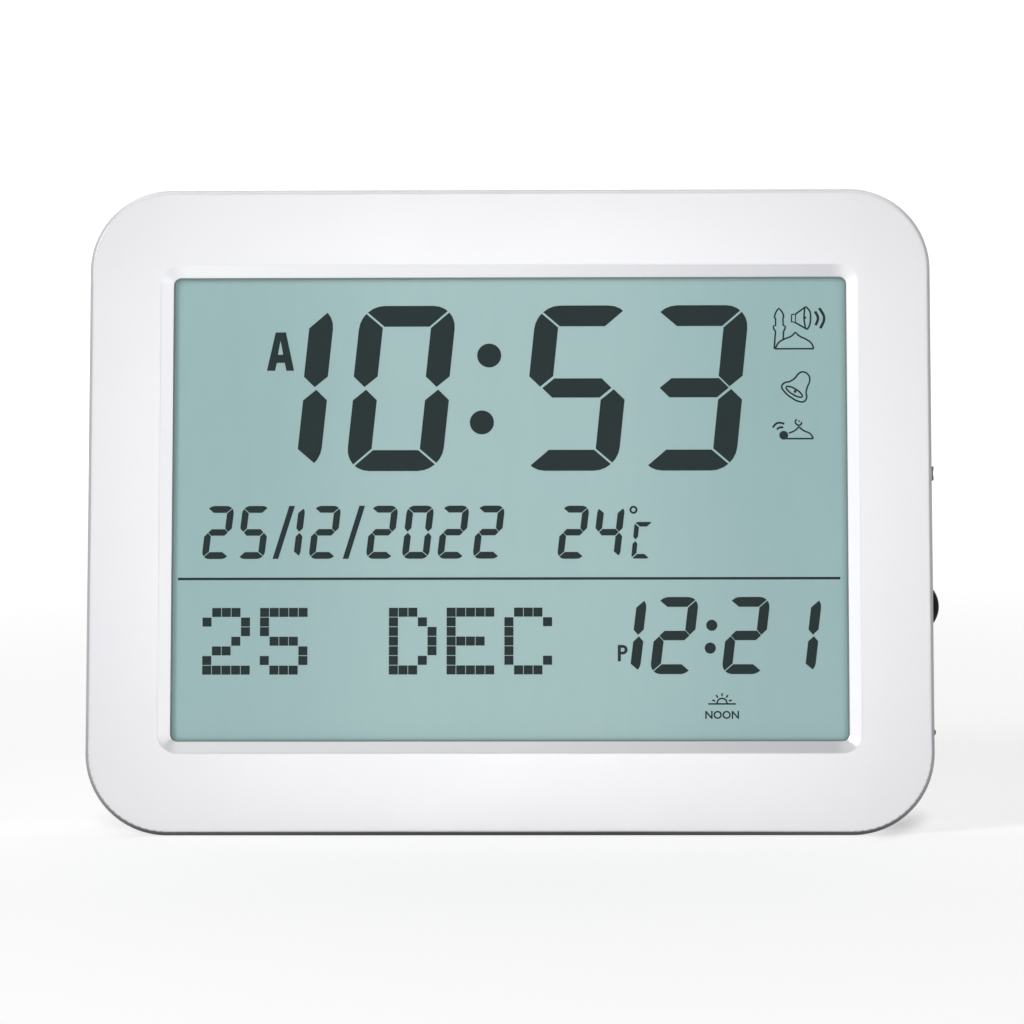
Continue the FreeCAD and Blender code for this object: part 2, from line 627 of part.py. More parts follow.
def rear_moulding():
    body = doc.addObject("PartDesign::Body", "rear_moulding")
    loft(body, "Additive", "Outer", "parting_depth", "case_depth", "0")
    round_edges(body, "BackRounding", "back_rounding", size("case_depth"))
    round_edges(body, "SeamRounding", "seam_rounding", size("parting_depth"))
    loft(body, "Additive", "Tongue", "parting_depth - tongue_height", "parting_depth",
         "wall + tongue_gap")
    mouth_inset = "(wall + tongue_gap + tongue_thickness)"
    mouth_end = "parting_depth + wall - 0.2"
    loft(body, "Subtractive", "Mouth", "parting_depth - tongue_height", mouth_end, mouth_inset)
    loft(body, "Subtractive", "Cavity", mouth_end, INNER_BACK, "wall")

    # Walls and posts grow forward from the middle of the back wall.
    root = "(case_depth - back_thickness / 2)"
    recess_half = "(leg_width / 2 + leg_gap)"
    recess = new_sketch(body, "LegWallOutline", root)
    draw_rectangle(recess, f"-({recess_half} + leg_recess_wall)", f"{recess_half} + leg_recess_wall",
                   "leg_wall_foot", "leg_recess_top + leg_recess_wall", "leg_wall_corner")
    add_to(body, "LegWalls", recess, f"{root} - leg_recess_depth + leg_wall_rise")
    swell = new_sketch(body, "HingeWallOutline", root)
    draw_rectangle(swell, f"-({recess_half} + leg_recess_wall)", f"{recess_half} + leg_recess_wall",
                   "leg_hinge_up - hinge_wall_half", "leg_hinge_up + hinge_wall_half")
    add_to(body, "HingeWall", swell, f"{root} - leg_recess_depth + hinge_wall_rise")
    tray = new_sketch(body, "TrayOutline", root)
    draw_rectangle(tray, "tray_left - tray_wall", f"{TRAY_RIGHT} + tray_wall",
                   "tray_bottom - tray_wall", f"{TRAY_TOP} + tray_wall", 2)
    add_to(body, "Tray", tray, f"{root} - tray_floor + 1.3")
    frame = new_sketch(body, "DoorFrameOutline", root)
    reach = "(door_overlap + door_frame)"
    draw_rectangle(frame, f"tray_left - {reach}", f"{TRAY_RIGHT} + {reach}",
                   f"tray_bottom - {reach}", f"{TRAY_TOP} + {reach}", 3)
    add_to(body, "DoorFrame", frame, f"{root} - {INNER_BACK} + door_frame_rise")
    posts = new_sketch(body, "PostPlaces", root)
    for across, up in CASE_SCREWS:
        draw_circle(posts, across, up, "back_boss_radius")
    add_to(body, "CasePosts", posts, f"{root} - parting_depth")
    key_posts = new_sketch(body, "KeyPostPlaces", root)
    for side in (-1, 0, 1):
        draw_circle(key_posts, f"{side} * key_post_spread", "key_row_up", "key_post_radius")
    add_to(body, "KeyPosts", key_posts, f"{root} - {KEY_BOARD_BACK}")
    speaker_posts = new_sketch(body, "SpeakerPostPlaces", root, "speaker_across", "speaker_up")
    for turn in (90, 210, 330):
        draw_circle(speaker_posts, f"speaker_post_reach * cos({turn})",
                    f"speaker_post_reach * sin({turn})", "speaker_post_radius")
    add_to(body, "SpeakerPosts", speaker_posts, f"{root} - {INNER_BACK} + speaker_rim")

    # Recesses and holes cut forward from the outside of the back.
    leg_bay = new_sketch(body, "LegBayOutline", "case_depth")
    draw_rectangle(leg_bay, f"-{recess_half}", recess_half, -5, "leg_recess_top")
    take_from(body, "LegBay", leg_bay, "case_depth - leg_recess_depth", forward=True)
    door_bay = new_sketch(body, "DoorBayOutline", "case_depth")
    draw_rectangle(door_bay, "tray_left - door_overlap", f"{TRAY_RIGHT} + door_overlap",
                   "tray_bottom - door_overlap", f"{TRAY_TOP} + door_overlap", "door_bay_corner")
    take_from(body, "DoorBay", door_bay, "door_thickness + 0.1", forward=True)
    cell_bay = new_sketch(body, "CellBayOutline", "case_depth")
    draw_rectangle(cell_bay, "tray_left", TRAY_RIGHT, "tray_bottom", TRAY_TOP)
    take_from(body, "CellBay", cell_bay, "case_depth - tray_floor", forward=True)
    wells = new_sketch(body, "WellPlaces", "case_depth")
    bores = new_sketch(body, "BorePlaces", "case_depth")
    for across, up in CASE_SCREWS:
        draw_circle(wells, across, up, "well_radius")
        draw_circle(bores, across, up, "case_screw_clearance")
    take_from(body, "Wells", wells, "case_depth - seat_depth", forward=True)
    take_from(body, "ScrewBores", bores, "case_depth - parting_depth", forward=True)
    key_holes = new_sketch(body, "KeyHolePlaces", "case_depth")
    for number in range(len(KEYS)):
        draw_circle(key_holes, key_across(number), "key_row_up", "key_hole_radius")
    take_from(body, "KeyHoles", key_holes, "back_thickness", forward=True)
    entries = new_sketch(body, "KeyholeEntries", "case_depth")
    slots = new_sketch(body, "KeyholeSlots", "case_depth")
    for side in (-1, 1):
        draw_circle(entries, f"{side} * keyhole_across", "keyhole_up", "keyhole_radius")
        draw_rectangle(slots, f"{side} * keyhole_across - keyhole_slot / 2",
                       f"{side} * keyhole_across + keyhole_slot / 2", "keyhole_up",
                       "keyhole_up + keyhole_rise", "keyhole_slot / 2 - 0.05")
    take_from(body, "HangingEntries", entries, "back_thickness", forward=True)
    take_from(body, "HangingSlots", slots, "back_thickness", forward=True)

    # Loudspeaker grille: a hole in the middle and three rings round it.
    middle_hole = new_sketch(body, "GrilleMiddle", "case_depth", "speaker_across", "speaker_up")
    draw_circle(middle_hole, 0, 0, "grille_hole_radius")
    take_from(body, "GrilleHole", middle_hole, "back_thickness", forward=True)
    for ring in (1, 2, 3):
        place_of_hole = new_sketch(body, f"GrilleRing{ring}", "case_depth",
                                   "speaker_across", "speaker_up")
        draw_circle(place_of_hole, f"{ring} * grille_spacing", 0, "grille_hole_radius")
        hole = take_from(body, f"GrilleHole{ring}", place_of_hole, "back_thickness", forward=True)
        turn = body.newObject("PartDesign::PolarPattern", f"GrilleTurn{ring}")
        turn.Originals = [hole]
        turn.Axis = (place_of_hole, ["N_Axis"])
        turn.Angle = 360
        turn.Occurrences = 6 * ring
        body.Tip = turn
        doc.recompute()

    # Notches in the right side, open to the parting line, for the three controls.
    start = "(parting_depth - tongue_height - 1)"
    reach = "case_width / 2 - 8"
    notches = [
        ("wheel_up - wheel_radius - wheel_slot_gap", "wheel_up + wheel_radius + wheel_slot_gap",
         "wheel_depth + wheel_thickness + notch_gap"),
        ("slider_up - slider_height / 2 - slider_travel - notch_gap",
         "slider_up + slider_height / 2 + notch_gap", "slider_depth + slider_thickness + notch_gap"),
        ("sensor_up - sensor_radius - 0.3", "sensor_up + sensor_radius + 0.3",
         "sensor_depth + sensor_radius + 0.3"),
    ]
    for number, (low, high, end) in enumerate(notches):
        notch = new_sketch(body, f"NotchOutline{number}", start)
        draw_rectangle(notch, reach, "case_width / 2 + 3", low, high)
        take_from(body, f"Notch{number}", notch, f"{end} - {start}")

    return body


def rear_cover():
    """The moulding with its hinge trough, pin holes and screw pilots bored."""
    trough_half = "(leg_width / 2 + leg_gap)"
    tools = [
        rod("hinge_trough", f"-{trough_half}", "leg_hinge_up", "leg_barrel_depth",
            "leg_barrel_radius + trough_gap", f"2 * {trough_half}"),
        rod("pin_bore", f"-({trough_half} + pin_end)", "leg_hinge_up", "leg_barrel_depth",
            "pin_radius", f"2 * ({trough_half} + pin_end)"),
    ]
    tools.append(table("rear_table", STOOD))
    for side in (-1, 0, 1):
        tools.append(disc(f"key_pilot_{side + 1}", f"{side} * key_post_spread", "key_row_up",
                          KEY_BOARD_BACK, "small_screw_radius", "key_pilot_length"))
    for number, turn in enumerate((90, 210, 330)):
        tools.append(disc(f"speaker_pilot_{number}",
                          f"speaker_across + speaker_post_reach * cos({turn})",
                          f"speaker_up + speaker_post_reach * sin({turn})",
                          f"{INNER_BACK} - speaker_rim", "small_screw_radius",
                          "speaker_pilot_length"))
    piece("rear_cover", [cut("rear_moulding_bored", rear_moulding(), tools)])


# ---- Leg: a plate on a steel pin, with a rubber foot ---------------------------------------

HINGE = Vector(0, size("leg_hinge_up"), -size("leg_barrel_depth"))
OPENED = Placement(HINGE, Rotation(Vector(1, 0, 0), size("leg_open"))) * Placement(-HINGE, Rotation())
DEPLOYED = STOOD * OPENED


def stand_leg():
    plate_body = doc.addObject("PartDesign::Body", "leg_plate")
    side = new_sketch(plate_body, "PlateOutline", "leg_depth")
    draw_rectangle(side, "-leg_width / 2", "leg_width / 2", "leg_end", "leg_hinge_up",
                   "leg_corner")
    add_to(plate_body, "Plate", side, "leg_thickness", forward=False)
    round_edges(plate_body, "PlateRounding", "leg_rounding", size("leg_depth") + size("leg_thickness"))
    panel = new_sketch(plate_body, "PanelOutline", "leg_depth + leg_thickness")
    draw_rectangle(panel, "-leg_width / 2 + leg_panel_border", "leg_width / 2 - leg_panel_border",
                   "leg_end + leg_panel_foot_gap", "leg_hinge_up - leg_panel_hinge_gap",
                   "leg_panel_corner")
    take_from(plate_body, "Panel", panel, "leg_panel_depth", forward=True)
    doc.recompute()
    barrel = rod("leg_barrel", "-leg_width / 2", "leg_hinge_up", "leg_barrel_depth",
                 "leg_barrel_radius", "leg_width")
    stop = box("leg_stop_lug", "-stop_lug_width / 2", "leg_hinge_up",
               "leg_barrel_depth + stop_lug_gap", "stop_lug_width", "leg_stop",
               "stop_lug_thickness")
    bore = rod("leg_bore", "-leg_width / 2 - 1", "leg_hinge_up", "leg_barrel_depth",
               "pin_radius + pin_fit", "leg_width + 2")
    leg = cut("leg_bored", fuse("leg_solid", [plate_body, barrel, stop]), [bore])
    piece("stand_leg", [leg], DEPLOYED)

    # The foot is trimmed level with the table in the opened position.
    block = box("foot_block", "-leg_width / 2", "leg_end - foot_height", "leg_depth",
                "leg_width", "foot_height", "leg_thickness")
    piece("foot_pad", [cut("foot_trimmed", block, [table("foot_table", DEPLOYED)])], DEPLOYED)

    pin_half = "(leg_width / 2 + leg_gap + pin_end)"
    piece("leg_pin", [rod("pin", f"-{pin_half}", "leg_hinge_up", "leg_barrel_depth",
                          "pin_radius", f"2 * {pin_half}")])


# ---- Batteries, their contacts and the door ------------------------------------------------

def contact_spring(number, left, up, widest_left):
    """A coil of wire that narrows towards the cell, bent in short straight runs."""
    runs_per_turn = 12
    runs = int(size("spring_turns")) * runs_per_turn
    rise = size("spring_length") - 2 * size("spring_wire")
    nodes = []
    for step in range(runs + 1):
        share = step / runs
        narrowed = share if widest_left else 1 - share
        radius = size("spring_radius") - narrowed * size("spring_taper")
        turn = 2 * math.pi * step / runs_per_turn
        nodes.append(Vector(rise * share, radius * math.cos(turn), radius * math.sin(turn)))
    path = doc.addObject("Part::Polygon", f"spring_path_{number}")
    path.Nodes = nodes
    wire = doc.addObject("Part::Circle", f"spring_wire_{number}")
    bind(wire, "Radius", "spring_wire")
    wire.Placement = Placement(nodes[0], Rotation(Vector(0, 0, 1), nodes[1] - nodes[0]))
    sweep = doc.addObject("Part::Sweep", f"spring_coil_{number}")
    sweep.Sections = [wire]
    sweep.Spine = (path, [f"Edge{run + 1}" for run in range(runs)])
    sweep.Solid = True
    sweep.Transition = "Right corner"
    spring = doc.addObject("Part::Compound", f"spring_{number}")
    spring.Links = [sweep]
    place(spring, f"{left} + spring_wire", up, "-cell_depth")
    return spring


def battery_compartment():
    springs = []
    contacts = []
    for number in range(3):
        up = f"(tray_bottom + tray_height / 2 + {number - 1} * cell_pitch)"
        plus_right = number % 2 == 0
        near = "(tray_left + contact_thickness + cell_end_gap)"
        far = f"({TRAY_RIGHT} - contact_thickness - cell_end_gap)"
        if plus_right:
            can_left = f"({far} - cell_nipple - cell_length)"
            nipple_left = f"({far} - cell_nipple)"
            spring_left = near
        else:
            can_left = f"({near} + cell_nipple)"
            nipple_left = near
            spring_left = f"({far} - spring_length)"
        can = rod(f"cell_can_{number}", can_left, up, "cell_depth", "cell_radius", "cell_length")
        nipple = rod(f"cell_nipple_{number}", nipple_left, up, "cell_depth",
                     "nipple_radius", "cell_nipple")
        piece(f"battery_{number + 1}", [fuse(f"cell_{number}", [can, nipple])])

        springs.append(contact_spring(number, spring_left, up, plus_right))
    for number, left in enumerate(("tray_left", f"{TRAY_RIGHT} - contact_thickness")):
        contacts.append(box(f"contact_{number}", left, "tray_bottom + contact_inset",
                            "tray_floor + 1", "contact_thickness",
                            "tray_height - 2 * contact_inset", "contact_height"))
    piece("battery_springs", springs)
    piece("battery_contacts", contacts)

    body = new_body("battery_door")
    reach = "(door_overlap - door_gap)"
    lid = new_sketch(body, "LidOutline", "case_depth - door_thickness")
    draw_rectangle(lid, f"tray_left - {reach}", f"{TRAY_RIGHT} + {reach}",
                   f"tray_bottom - {reach}", f"{TRAY_TOP} + {reach}", "door_corner")
    add_to(body, "Lid", lid, "door_thickness", forward=False)
    middle = "(tray_left + tray_length / 2)"
    for number in range(4):
        grip = new_sketch(body, f"GripOutline{number}", "case_depth")
        low = f"{TRAY_TOP} - grip_drop + {number} * grip_pitch"
        draw_rectangle(grip, f"{middle} - grip_half_width", f"{middle} + grip_half_width",
                       low, f"{low} + grip_width")
        take_from(body, f"Grip{number}", grip, "grip_depth", forward=True)
    locators = new_sketch(body, "LocatorOutline", "case_depth - door_thickness")
    for side in (-1, 1):
        centre = f"{middle} + {side} * locator_across"
        draw_rectangle(locators, f"{centre} - locator_half", f"{centre} + locator_half",
                       "tray_bottom + locator_inset",
                       "tray_bottom + locator_inset + locator_thickness")
    add_to(body, "Locators", locators, "locator_height")


# ---- Loudspeaker ----------------------------------------------------------------------------

def loudspeaker():
    at = ("speaker_across", "speaker_up")
    top = f"({INNER_BACK} - speaker_height)"
    rim_front = f"({INNER_BACK} - speaker_rim)"
    magnet_back = f"({top} + magnet_height)"
    throat = f"({rim_front} - {magnet_back})"
    piece("speaker_magnet", [disc("magnet", *at, top, "magnet_radius", "magnet_height")])
    rim = disc("basket_rim", *at, rim_front, "speaker_radius", "speaker_rim")
    shell = cone("basket_shell", *at, magnet_back, "magnet_radius", "speaker_radius - 2", throat)
    mouth_radius = "speaker_radius - 2 - basket_sheet"
    hollow = cone("basket_hollow", *at, f"{magnet_back} + 0.8", "magnet_radius - 1",
                  mouth_radius, f"{throat} - 0.8")
    mouth = disc("basket_mouth", *at, f"{rim_front} - 0.01", mouth_radius, "speaker_rim + 0.02")
    piece("speaker_basket", [cut("basket", fuse("basket_solid", [rim, shell]), [hollow, mouth])])

    cone_depth = f"({magnet_back} + 1.2)"
    cone_height = f"({INNER_BACK} - 0.6 - {cone_depth})"
    paper = cone("cone_outside", *at, cone_depth, "cone_neck_radius", "speaker_radius - 3",
                 cone_height)
    inside = cone("cone_inside", *at, f"{cone_depth} + 0.5", "cone_neck_radius - cone_paper",
                  "speaker_radius - 3 - cone_paper", cone_height)
    cap = disc("cone_cap", *at, f"{cone_depth} + 0.5", "cap_radius", "cap_height")
    piece("speaker_cone", [fuse("cone", [cut("cone_paper", paper, [inside]), cap])])

    screws = []
    for number, turn in enumerate((90, 210, 330)):
        across = f"speaker_across + speaker_post_reach * cos({turn})"
        up = f"speaker_up + speaker_post_reach * sin({turn})"
        shank = disc(f"speaker_shank_{number}", across, up, rim_front, "small_screw_radius",
                     "speaker_pilot_length")
        head = disc(f"speaker_head_{number}", across, up, f"{rim_front} - small_screw_head",
                    "speaker_washer_radius", "small_screw_head")
        screws.append(fuse(f"speaker_screw_{number}", [shank, head]))
    piece("speaker_screws", screws)


# ---- Keys on the back, with their switches on a small board ----------------------------------

def key_group():
    board = box("key_board_blank", "-key_board_width / 2", "key_row_up - key_board_height / 2",
                "key_board_depth", "key_board_width", "key_board_height", "board_thickness")
    holes = []
    screws = []
    for side in (-1, 0, 1):
        across = f"{side} * key_post_spread"
        holes.append(disc(f"key_board_hole_{side + 1}", across, "key_row_up",
                          "key_board_depth - 1", "key_board_hole_radius", "board_thickness + 2"))
        name = f"key_board_screw_{side + 1}"
        shank = disc(f"{name}_shank", across, "key_row_up", "key_board_depth",
                     "small_screw_radius", "key_screw_length")
        head = disc(f"{name}_head", across, "key_row_up", "key_board_depth - small_screw_head",
                    "key_screw_head_radius", "small_screw_head")
        screws.append(fuse(name, [shank, head]))
    piece("key_board", [cut("key_board_drilled", board, holes)])
    piece("key_board_screws", screws)

    switches = []
    for number, key in enumerate(KEYS):
        across = key_across(number)
        shell = box(f"{key}_switch_shell", f"{across} - switch_side / 2",
                    "key_row_up - switch_side / 2", KEY_BOARD_BACK,
                    "switch_side", "switch_side", "switch_height")
        well = disc(f"{key}_switch_well", across, "key_row_up",
                    f"{KEY_BOARD_BACK} + switch_floor",
                    "plunger_radius + plunger_fit", "switch_height")
        switches.append(cut(f"{key}_switch", shell, [well]))
        plunger = disc(f"{key}_stem", across, "key_row_up", f"{KEY_BOARD_BACK} + plunger_root",
                       "plunger_radius", f"{KEY_FLANGE} - {KEY_BOARD_BACK} - plunger_root")
        piece(f"{key}_plunger", [plunger])
        flange = disc(f"{key}_flange", across, "key_row_up", KEY_FLANGE,
                      "key_flange_radius", "key_flange")
        stem_end = "(case_depth + key_proud - key_chamfer)"
        cap = disc(f"{key}_cap", across, "key_row_up", KEY_FLANGE, "key_cap_radius",
                   f"{stem_end} - {KEY_FLANGE}")
        crown = cone(f"{key}_crown", across, "key_row_up", stem_end, "key_cap_radius",
                     "key_cap_radius - key_chamfer", "key_chamfer")
        piece(f"{key}_button", [fuse(f"{key}_key", [flange, cap, crown])])
    piece("tact_switches", switches)


def case_screws():
    screws = [screw(f"case_screw_{number}", across, up, "seat_depth", "case_screw_radius",
                    "case_screw_length", "case_screw_head_radius", "case_screw_head")
              for number, (across, up) in enumerate(CASE_SCREWS)]
    piece("case_screws", screws)


front_bezel()
window_gasket()
display()
main_board()
board_parts()
volume_control()
slide_switch()
temperature_sensor()
rear_cover()
stand_leg()
battery_compartment()
loudspeaker()
key_group()
case_screws()
doc.recompute()

# ---- Check every object and write every piece ------------------------------------------------

for item in doc.Objects:
    if "Invalid" in item.State or "Error" in item.State:
        raise RuntimeError(f"{item.Label} failed: {item.State}")
os.makedirs("parts", exist_ok=True)
for item in PIECES:
    shape = item.Shape
    if shape.isNull() or not shape.isValid() or not shape.Solids:
        raise RuntimeError(f"{item.Label} is not a valid solid")
for item in PIECES:
    item.Shape.exportStep(f"parts/{item.Label}.step")
print(len(PIECES), "pieces")
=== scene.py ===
import math

import bmesh
import bpy
from mathutils import Matrix, Vector


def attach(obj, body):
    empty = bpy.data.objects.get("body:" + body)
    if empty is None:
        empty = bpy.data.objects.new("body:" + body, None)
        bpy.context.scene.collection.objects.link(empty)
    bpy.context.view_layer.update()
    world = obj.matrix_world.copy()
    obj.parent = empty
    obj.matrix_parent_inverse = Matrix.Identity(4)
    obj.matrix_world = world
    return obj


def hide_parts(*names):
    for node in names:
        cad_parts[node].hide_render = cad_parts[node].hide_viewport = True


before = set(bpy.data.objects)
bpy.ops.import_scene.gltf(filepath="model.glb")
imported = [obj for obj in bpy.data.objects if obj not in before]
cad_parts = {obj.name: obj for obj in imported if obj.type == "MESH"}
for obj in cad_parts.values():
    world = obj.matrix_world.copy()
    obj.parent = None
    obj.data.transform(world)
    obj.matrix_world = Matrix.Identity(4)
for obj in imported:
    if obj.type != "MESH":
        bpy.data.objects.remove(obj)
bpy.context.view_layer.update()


# ---- Front bezel -------------------------------------------------------------
# The front half of the case: a flat face with a sloping rim round the window and a short
# skirt. It is injection moulded in white ABS and sprayed with a fine pearl lacquer.

MM = 0.001
LEAN = math.radians(12)
REST_CENTRE_DEPTH = 13
FACE = (Matrix.Translation((0, -REST_CENTRE_DEPTH * MM / math.cos(LEAN), 0))
        @ Matrix.Rotation(math.radians(90) - LEAN, 4, "X"))


def srgb(red, green, blue):
    """A colour as it is seen, 0 to 255, as the linear colour that a shader takes."""
    def linear(value):
        share = value / 255
        return share / 12.92 if share <= 0.04045 else ((share + 0.055) / 1.055) ** 2.4
    return (linear(red), linear(green), linear(blue), 1)


def node(tree, kind, sockets=None, **settings):
    """A node with its settings; each named socket takes a value or another node's output."""
    made = tree.nodes.new(kind)
    for name, value in settings.items():
        setattr(made, name, value)
    for name, value in (sockets or {}).items():
        if isinstance(value, bpy.types.NodeSocket):
            tree.links.new(value, made.inputs[name])
        else:
            made.inputs[name].default_value = value
    return made


def calc(tree, operation, *values, clamp=False):
    """The result of a sum on single values."""
    return node(tree, "ShaderNodeMath", dict(enumerate(values)), operation=operation,
                use_clamp=clamp).outputs[0]


def vector_calc(tree, operation, *values):
    """The result of a sum on vectors; a length is a single value."""
    made = node(tree, "ShaderNodeVectorMath", dict(enumerate(values)), operation=operation)
    return made.outputs["Value" if operation == "LENGTH" else "Vector"]


def spread(tree, value, start, end, to_start=0.0, to_end=1.0, soft=False):
    """A value moved from one range to another; soft eases it in and out."""
    return node(tree, "ShaderNodeMapRange",
                {"Value": value, "From Min": start, "From Max": end, "To Min": to_start,
                 "To Max": to_end},
                interpolation_type="SMOOTHSTEP" if soft else "LINEAR").outputs[0]


def object_place(tree):
    """The place on the piece, in the clock's own frame."""
    return node(tree, "ShaderNodeTexCoord").outputs["Object"]


def axes(tree, vector):
    """The three parts of a vector."""
    return node(tree, "ShaderNodeSeparateXYZ", {"Vector": vector}).outputs


def noise(tree, place, scale, detail, rough=0.5):
    """Soft random patches; scale is how many fit in a metre."""
    return node(tree, "ShaderNodeTexNoise", {"Vector": place, "Scale": scale, "Detail": detail,
                                             "Roughness": rough}).outputs["Fac"]


def ramp(tree, value, stops, blend="LINEAR"):
    """The colour at a value, from stops of (position, colour)."""
    made = node(tree, "ShaderNodeValToRGB", {"Fac": value})
    made.color_ramp.interpolation = blend
    points = made.color_ramp.elements
    first, *middle, last = stops
    for point, (position, colour) in zip(points, (first, last)):
        point.position, point.color = position, srgb(*colour)
    for position, colour in middle:
        points.new(position).color = srgb(*colour)
    return made.outputs["Color"]


def mixed(tree, factor, first, second):
    """The output of a node that mixes two colours."""
    blend = tree.nodes.new("ShaderNodeMix")
    blend.data_type = "RGBA"
    sockets = {socket.identifier: socket for socket in blend.inputs}
    for name, value in (("Factor_Float", factor), ("A_Color", first), ("B_Color", second)):
        if isinstance(value, bpy.types.NodeSocket):
            tree.links.new(value, sockets[name])
        else:
            sockets[name].default_value = value
    return next(socket for socket in blend.outputs if socket.identifier == "Result_Color")


def feed(tree, sockets, values):
    """Link outputs to named sockets."""
    for name, value in values.items():
        tree.links.new(value, sockets[name])


def group_tree(name, kind, inputs, outputs):
    """A node group with sockets given as {name: type}, what it takes in and what it gives."""
    tree = bpy.data.node_groups.new(name, kind)
    for in_out, sockets in (("INPUT", inputs), ("OUTPUT", outputs)):
        for socket, socket_type in sockets.items():
            tree.interface.new_socket(socket, in_out=in_out,
                                      socket_type=f"NodeSocket{socket_type}")
    given, out = tree.nodes.new("NodeGroupInput"), tree.nodes.new("NodeGroupOutput")
    return tree, given.outputs, out.inputs


def moulded_surface():
    """Moulded plastic: a fine grain, slow clouds in the colour, and rubbed patches."""
    tree, given, out = group_tree(
        "moulded_surface", "ShaderNodeTree",
        {"Colour": "Color", "Cloud Colour": "Color", "Grain Size": "Float",
         "Grain Contrast": "Float", "Roughness": "Float", "Rubbed": "Float"},
        {"Colour": "Color", "Roughness": "Float", "Height": "Float"})
    place = object_place(tree)
    grains_per_metre = calc(tree, "DIVIDE", 1 / MM, given["Grain Size"])
    grain = noise(tree, place, grains_per_metre, 2.0, 0.6)
    clouds = noise(tree, place, 22.0, 3.0)
    rubs = noise(tree, place, 55.0, 5.0)
    speck = calc(tree, "MULTIPLY_ADD", calc(tree, "ADD", grain, -0.5), given["Grain Contrast"], 1.0)
    clouded = mixed(tree, clouds, given["Colour"], given["Cloud Colour"])
    tinted = node(tree, "ShaderNodeVectorMath", {0: clouded, "Scale": speck}, operation="SCALE")
    rough = calc(tree, "MULTIPLY_ADD", calc(tree, "ADD", rubs, -0.5), given["Rubbed"],
                 given["Roughness"], clamp=True)
    feed(tree, out, {"Colour": tinted.outputs[0], "Roughness": rough, "Height": grain})
    return tree


MOULDED = moulded_surface()


def new_material(name, **plain):
    """A material with its Principled shader; the plain values sit on the shader's sockets."""
    made = bpy.data.materials.new(name)
    made.use_nodes = True
    shader = made.node_tree.nodes["Principled BSDF"]
    for socket, value in plain.items():
        shader.inputs[socket.replace("_", " ").title().replace("Ior", "IOR")].default_value = value
    return made, made.node_tree, shader


def moulded(tree, colour, cloud, grain, contrast, rough, rubbed):
    """The moulded surface in a material: its colour, roughness and height."""
    surface = node(tree, "ShaderNodeGroup",
                   {"Colour": colour, "Cloud Colour": cloud, "Grain Size": grain,
                    "Grain Contrast": contrast, "Roughness": rough, "Rubbed": rubbed},
                   node_tree=MOULDED)
    return [surface.outputs[name] for name in ("Colour", "Roughness", "Height")]


def coat(tree, shader, colour, rough, height, bump):
    """Give a shader its colour, roughness and relief; bump is the relief in millimetres."""
    relief = node(tree, "ShaderNodeBump",
                  {"Strength": 1.0, "Distance": bump * MM, "Height": height})
    feed(tree, shader.inputs, {"Base Color": colour, "Roughness": rough,
                               "Normal": relief.outputs["Normal"]})


def in_scene(name, data):
    """A new object in the scene."""
    made = bpy.data.objects.new(name, data)
    bpy.context.scene.collection.objects.link(made)
    return made


def show(name, mesh, finish, body="case", replaces=()):
    """A finished piece: its mesh, its material, and the body that it moves with."""
    mesh.name = name
    mesh.materials.clear()
    mesh.materials.append(finish)
    made = in_scene(name, mesh)
    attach(made, body)
    if replaces:
        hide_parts(*replaces)


def take_mesh(holder):
    """What an object looks like after its modifiers, as a plain mesh; the object goes."""
    mesh = bpy.data.meshes.new_from_object(
        holder.evaluated_get(bpy.context.evaluated_depsgraph_get()))
    bpy.data.objects.remove(holder)
    return mesh


def plain_mesh(data, kind=None, **settings):
    """Curve, text or mesh data as a plain mesh, after a modifier of a kind with its settings."""
    holder = in_scene("holder", data)
    if kind:
        modifier = holder.modifiers.new("finish", kind)
        for name, value in settings.items():
            setattr(modifier, name, value)
    return take_mesh(holder)


def smooth_mesh(working):
    """An edited mesh as finished mesh data, smooth shaded."""
    for face in working.faces:
        face.smooth = True
    mesh = bpy.data.meshes.new("smooth")
    working.to_mesh(mesh)
    working.free()
    return mesh


BLENDED_TURN = math.radians(30)


def blended(name, finish, body="case"):
    """A CAD piece with its triangles joined, so that its roundings catch the light smoothly."""
    joined = bmesh.new()
    joined.from_mesh(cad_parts[name].data)
    bmesh.ops.remove_doubles(joined, verts=joined.verts, dist=1e-6)
    for edge in joined.edges:
        edge.smooth = len(edge.link_faces) == 2 and edge.calc_face_angle() < BLENDED_TURN
    mesh = plain_mesh(smooth_mesh(joined), "WEIGHTED_NORMAL", keep_sharp=True)
    show(f"{name}_finished", mesh, finish, body, (name,))


FACE_MIDDLE = 95.1
EDGE_ACROSS, EDGE_UP = 108, 80
WINDOW_HALF_WIDTH, WINDOW_HALF_HEIGHT = 98, 67.8
EDGE_TOP = 186
EDGE_START, EDGE_END = 1.8, 3.5
SKIN_TOP, SKIN_DEPTH = 0.005, 0.2


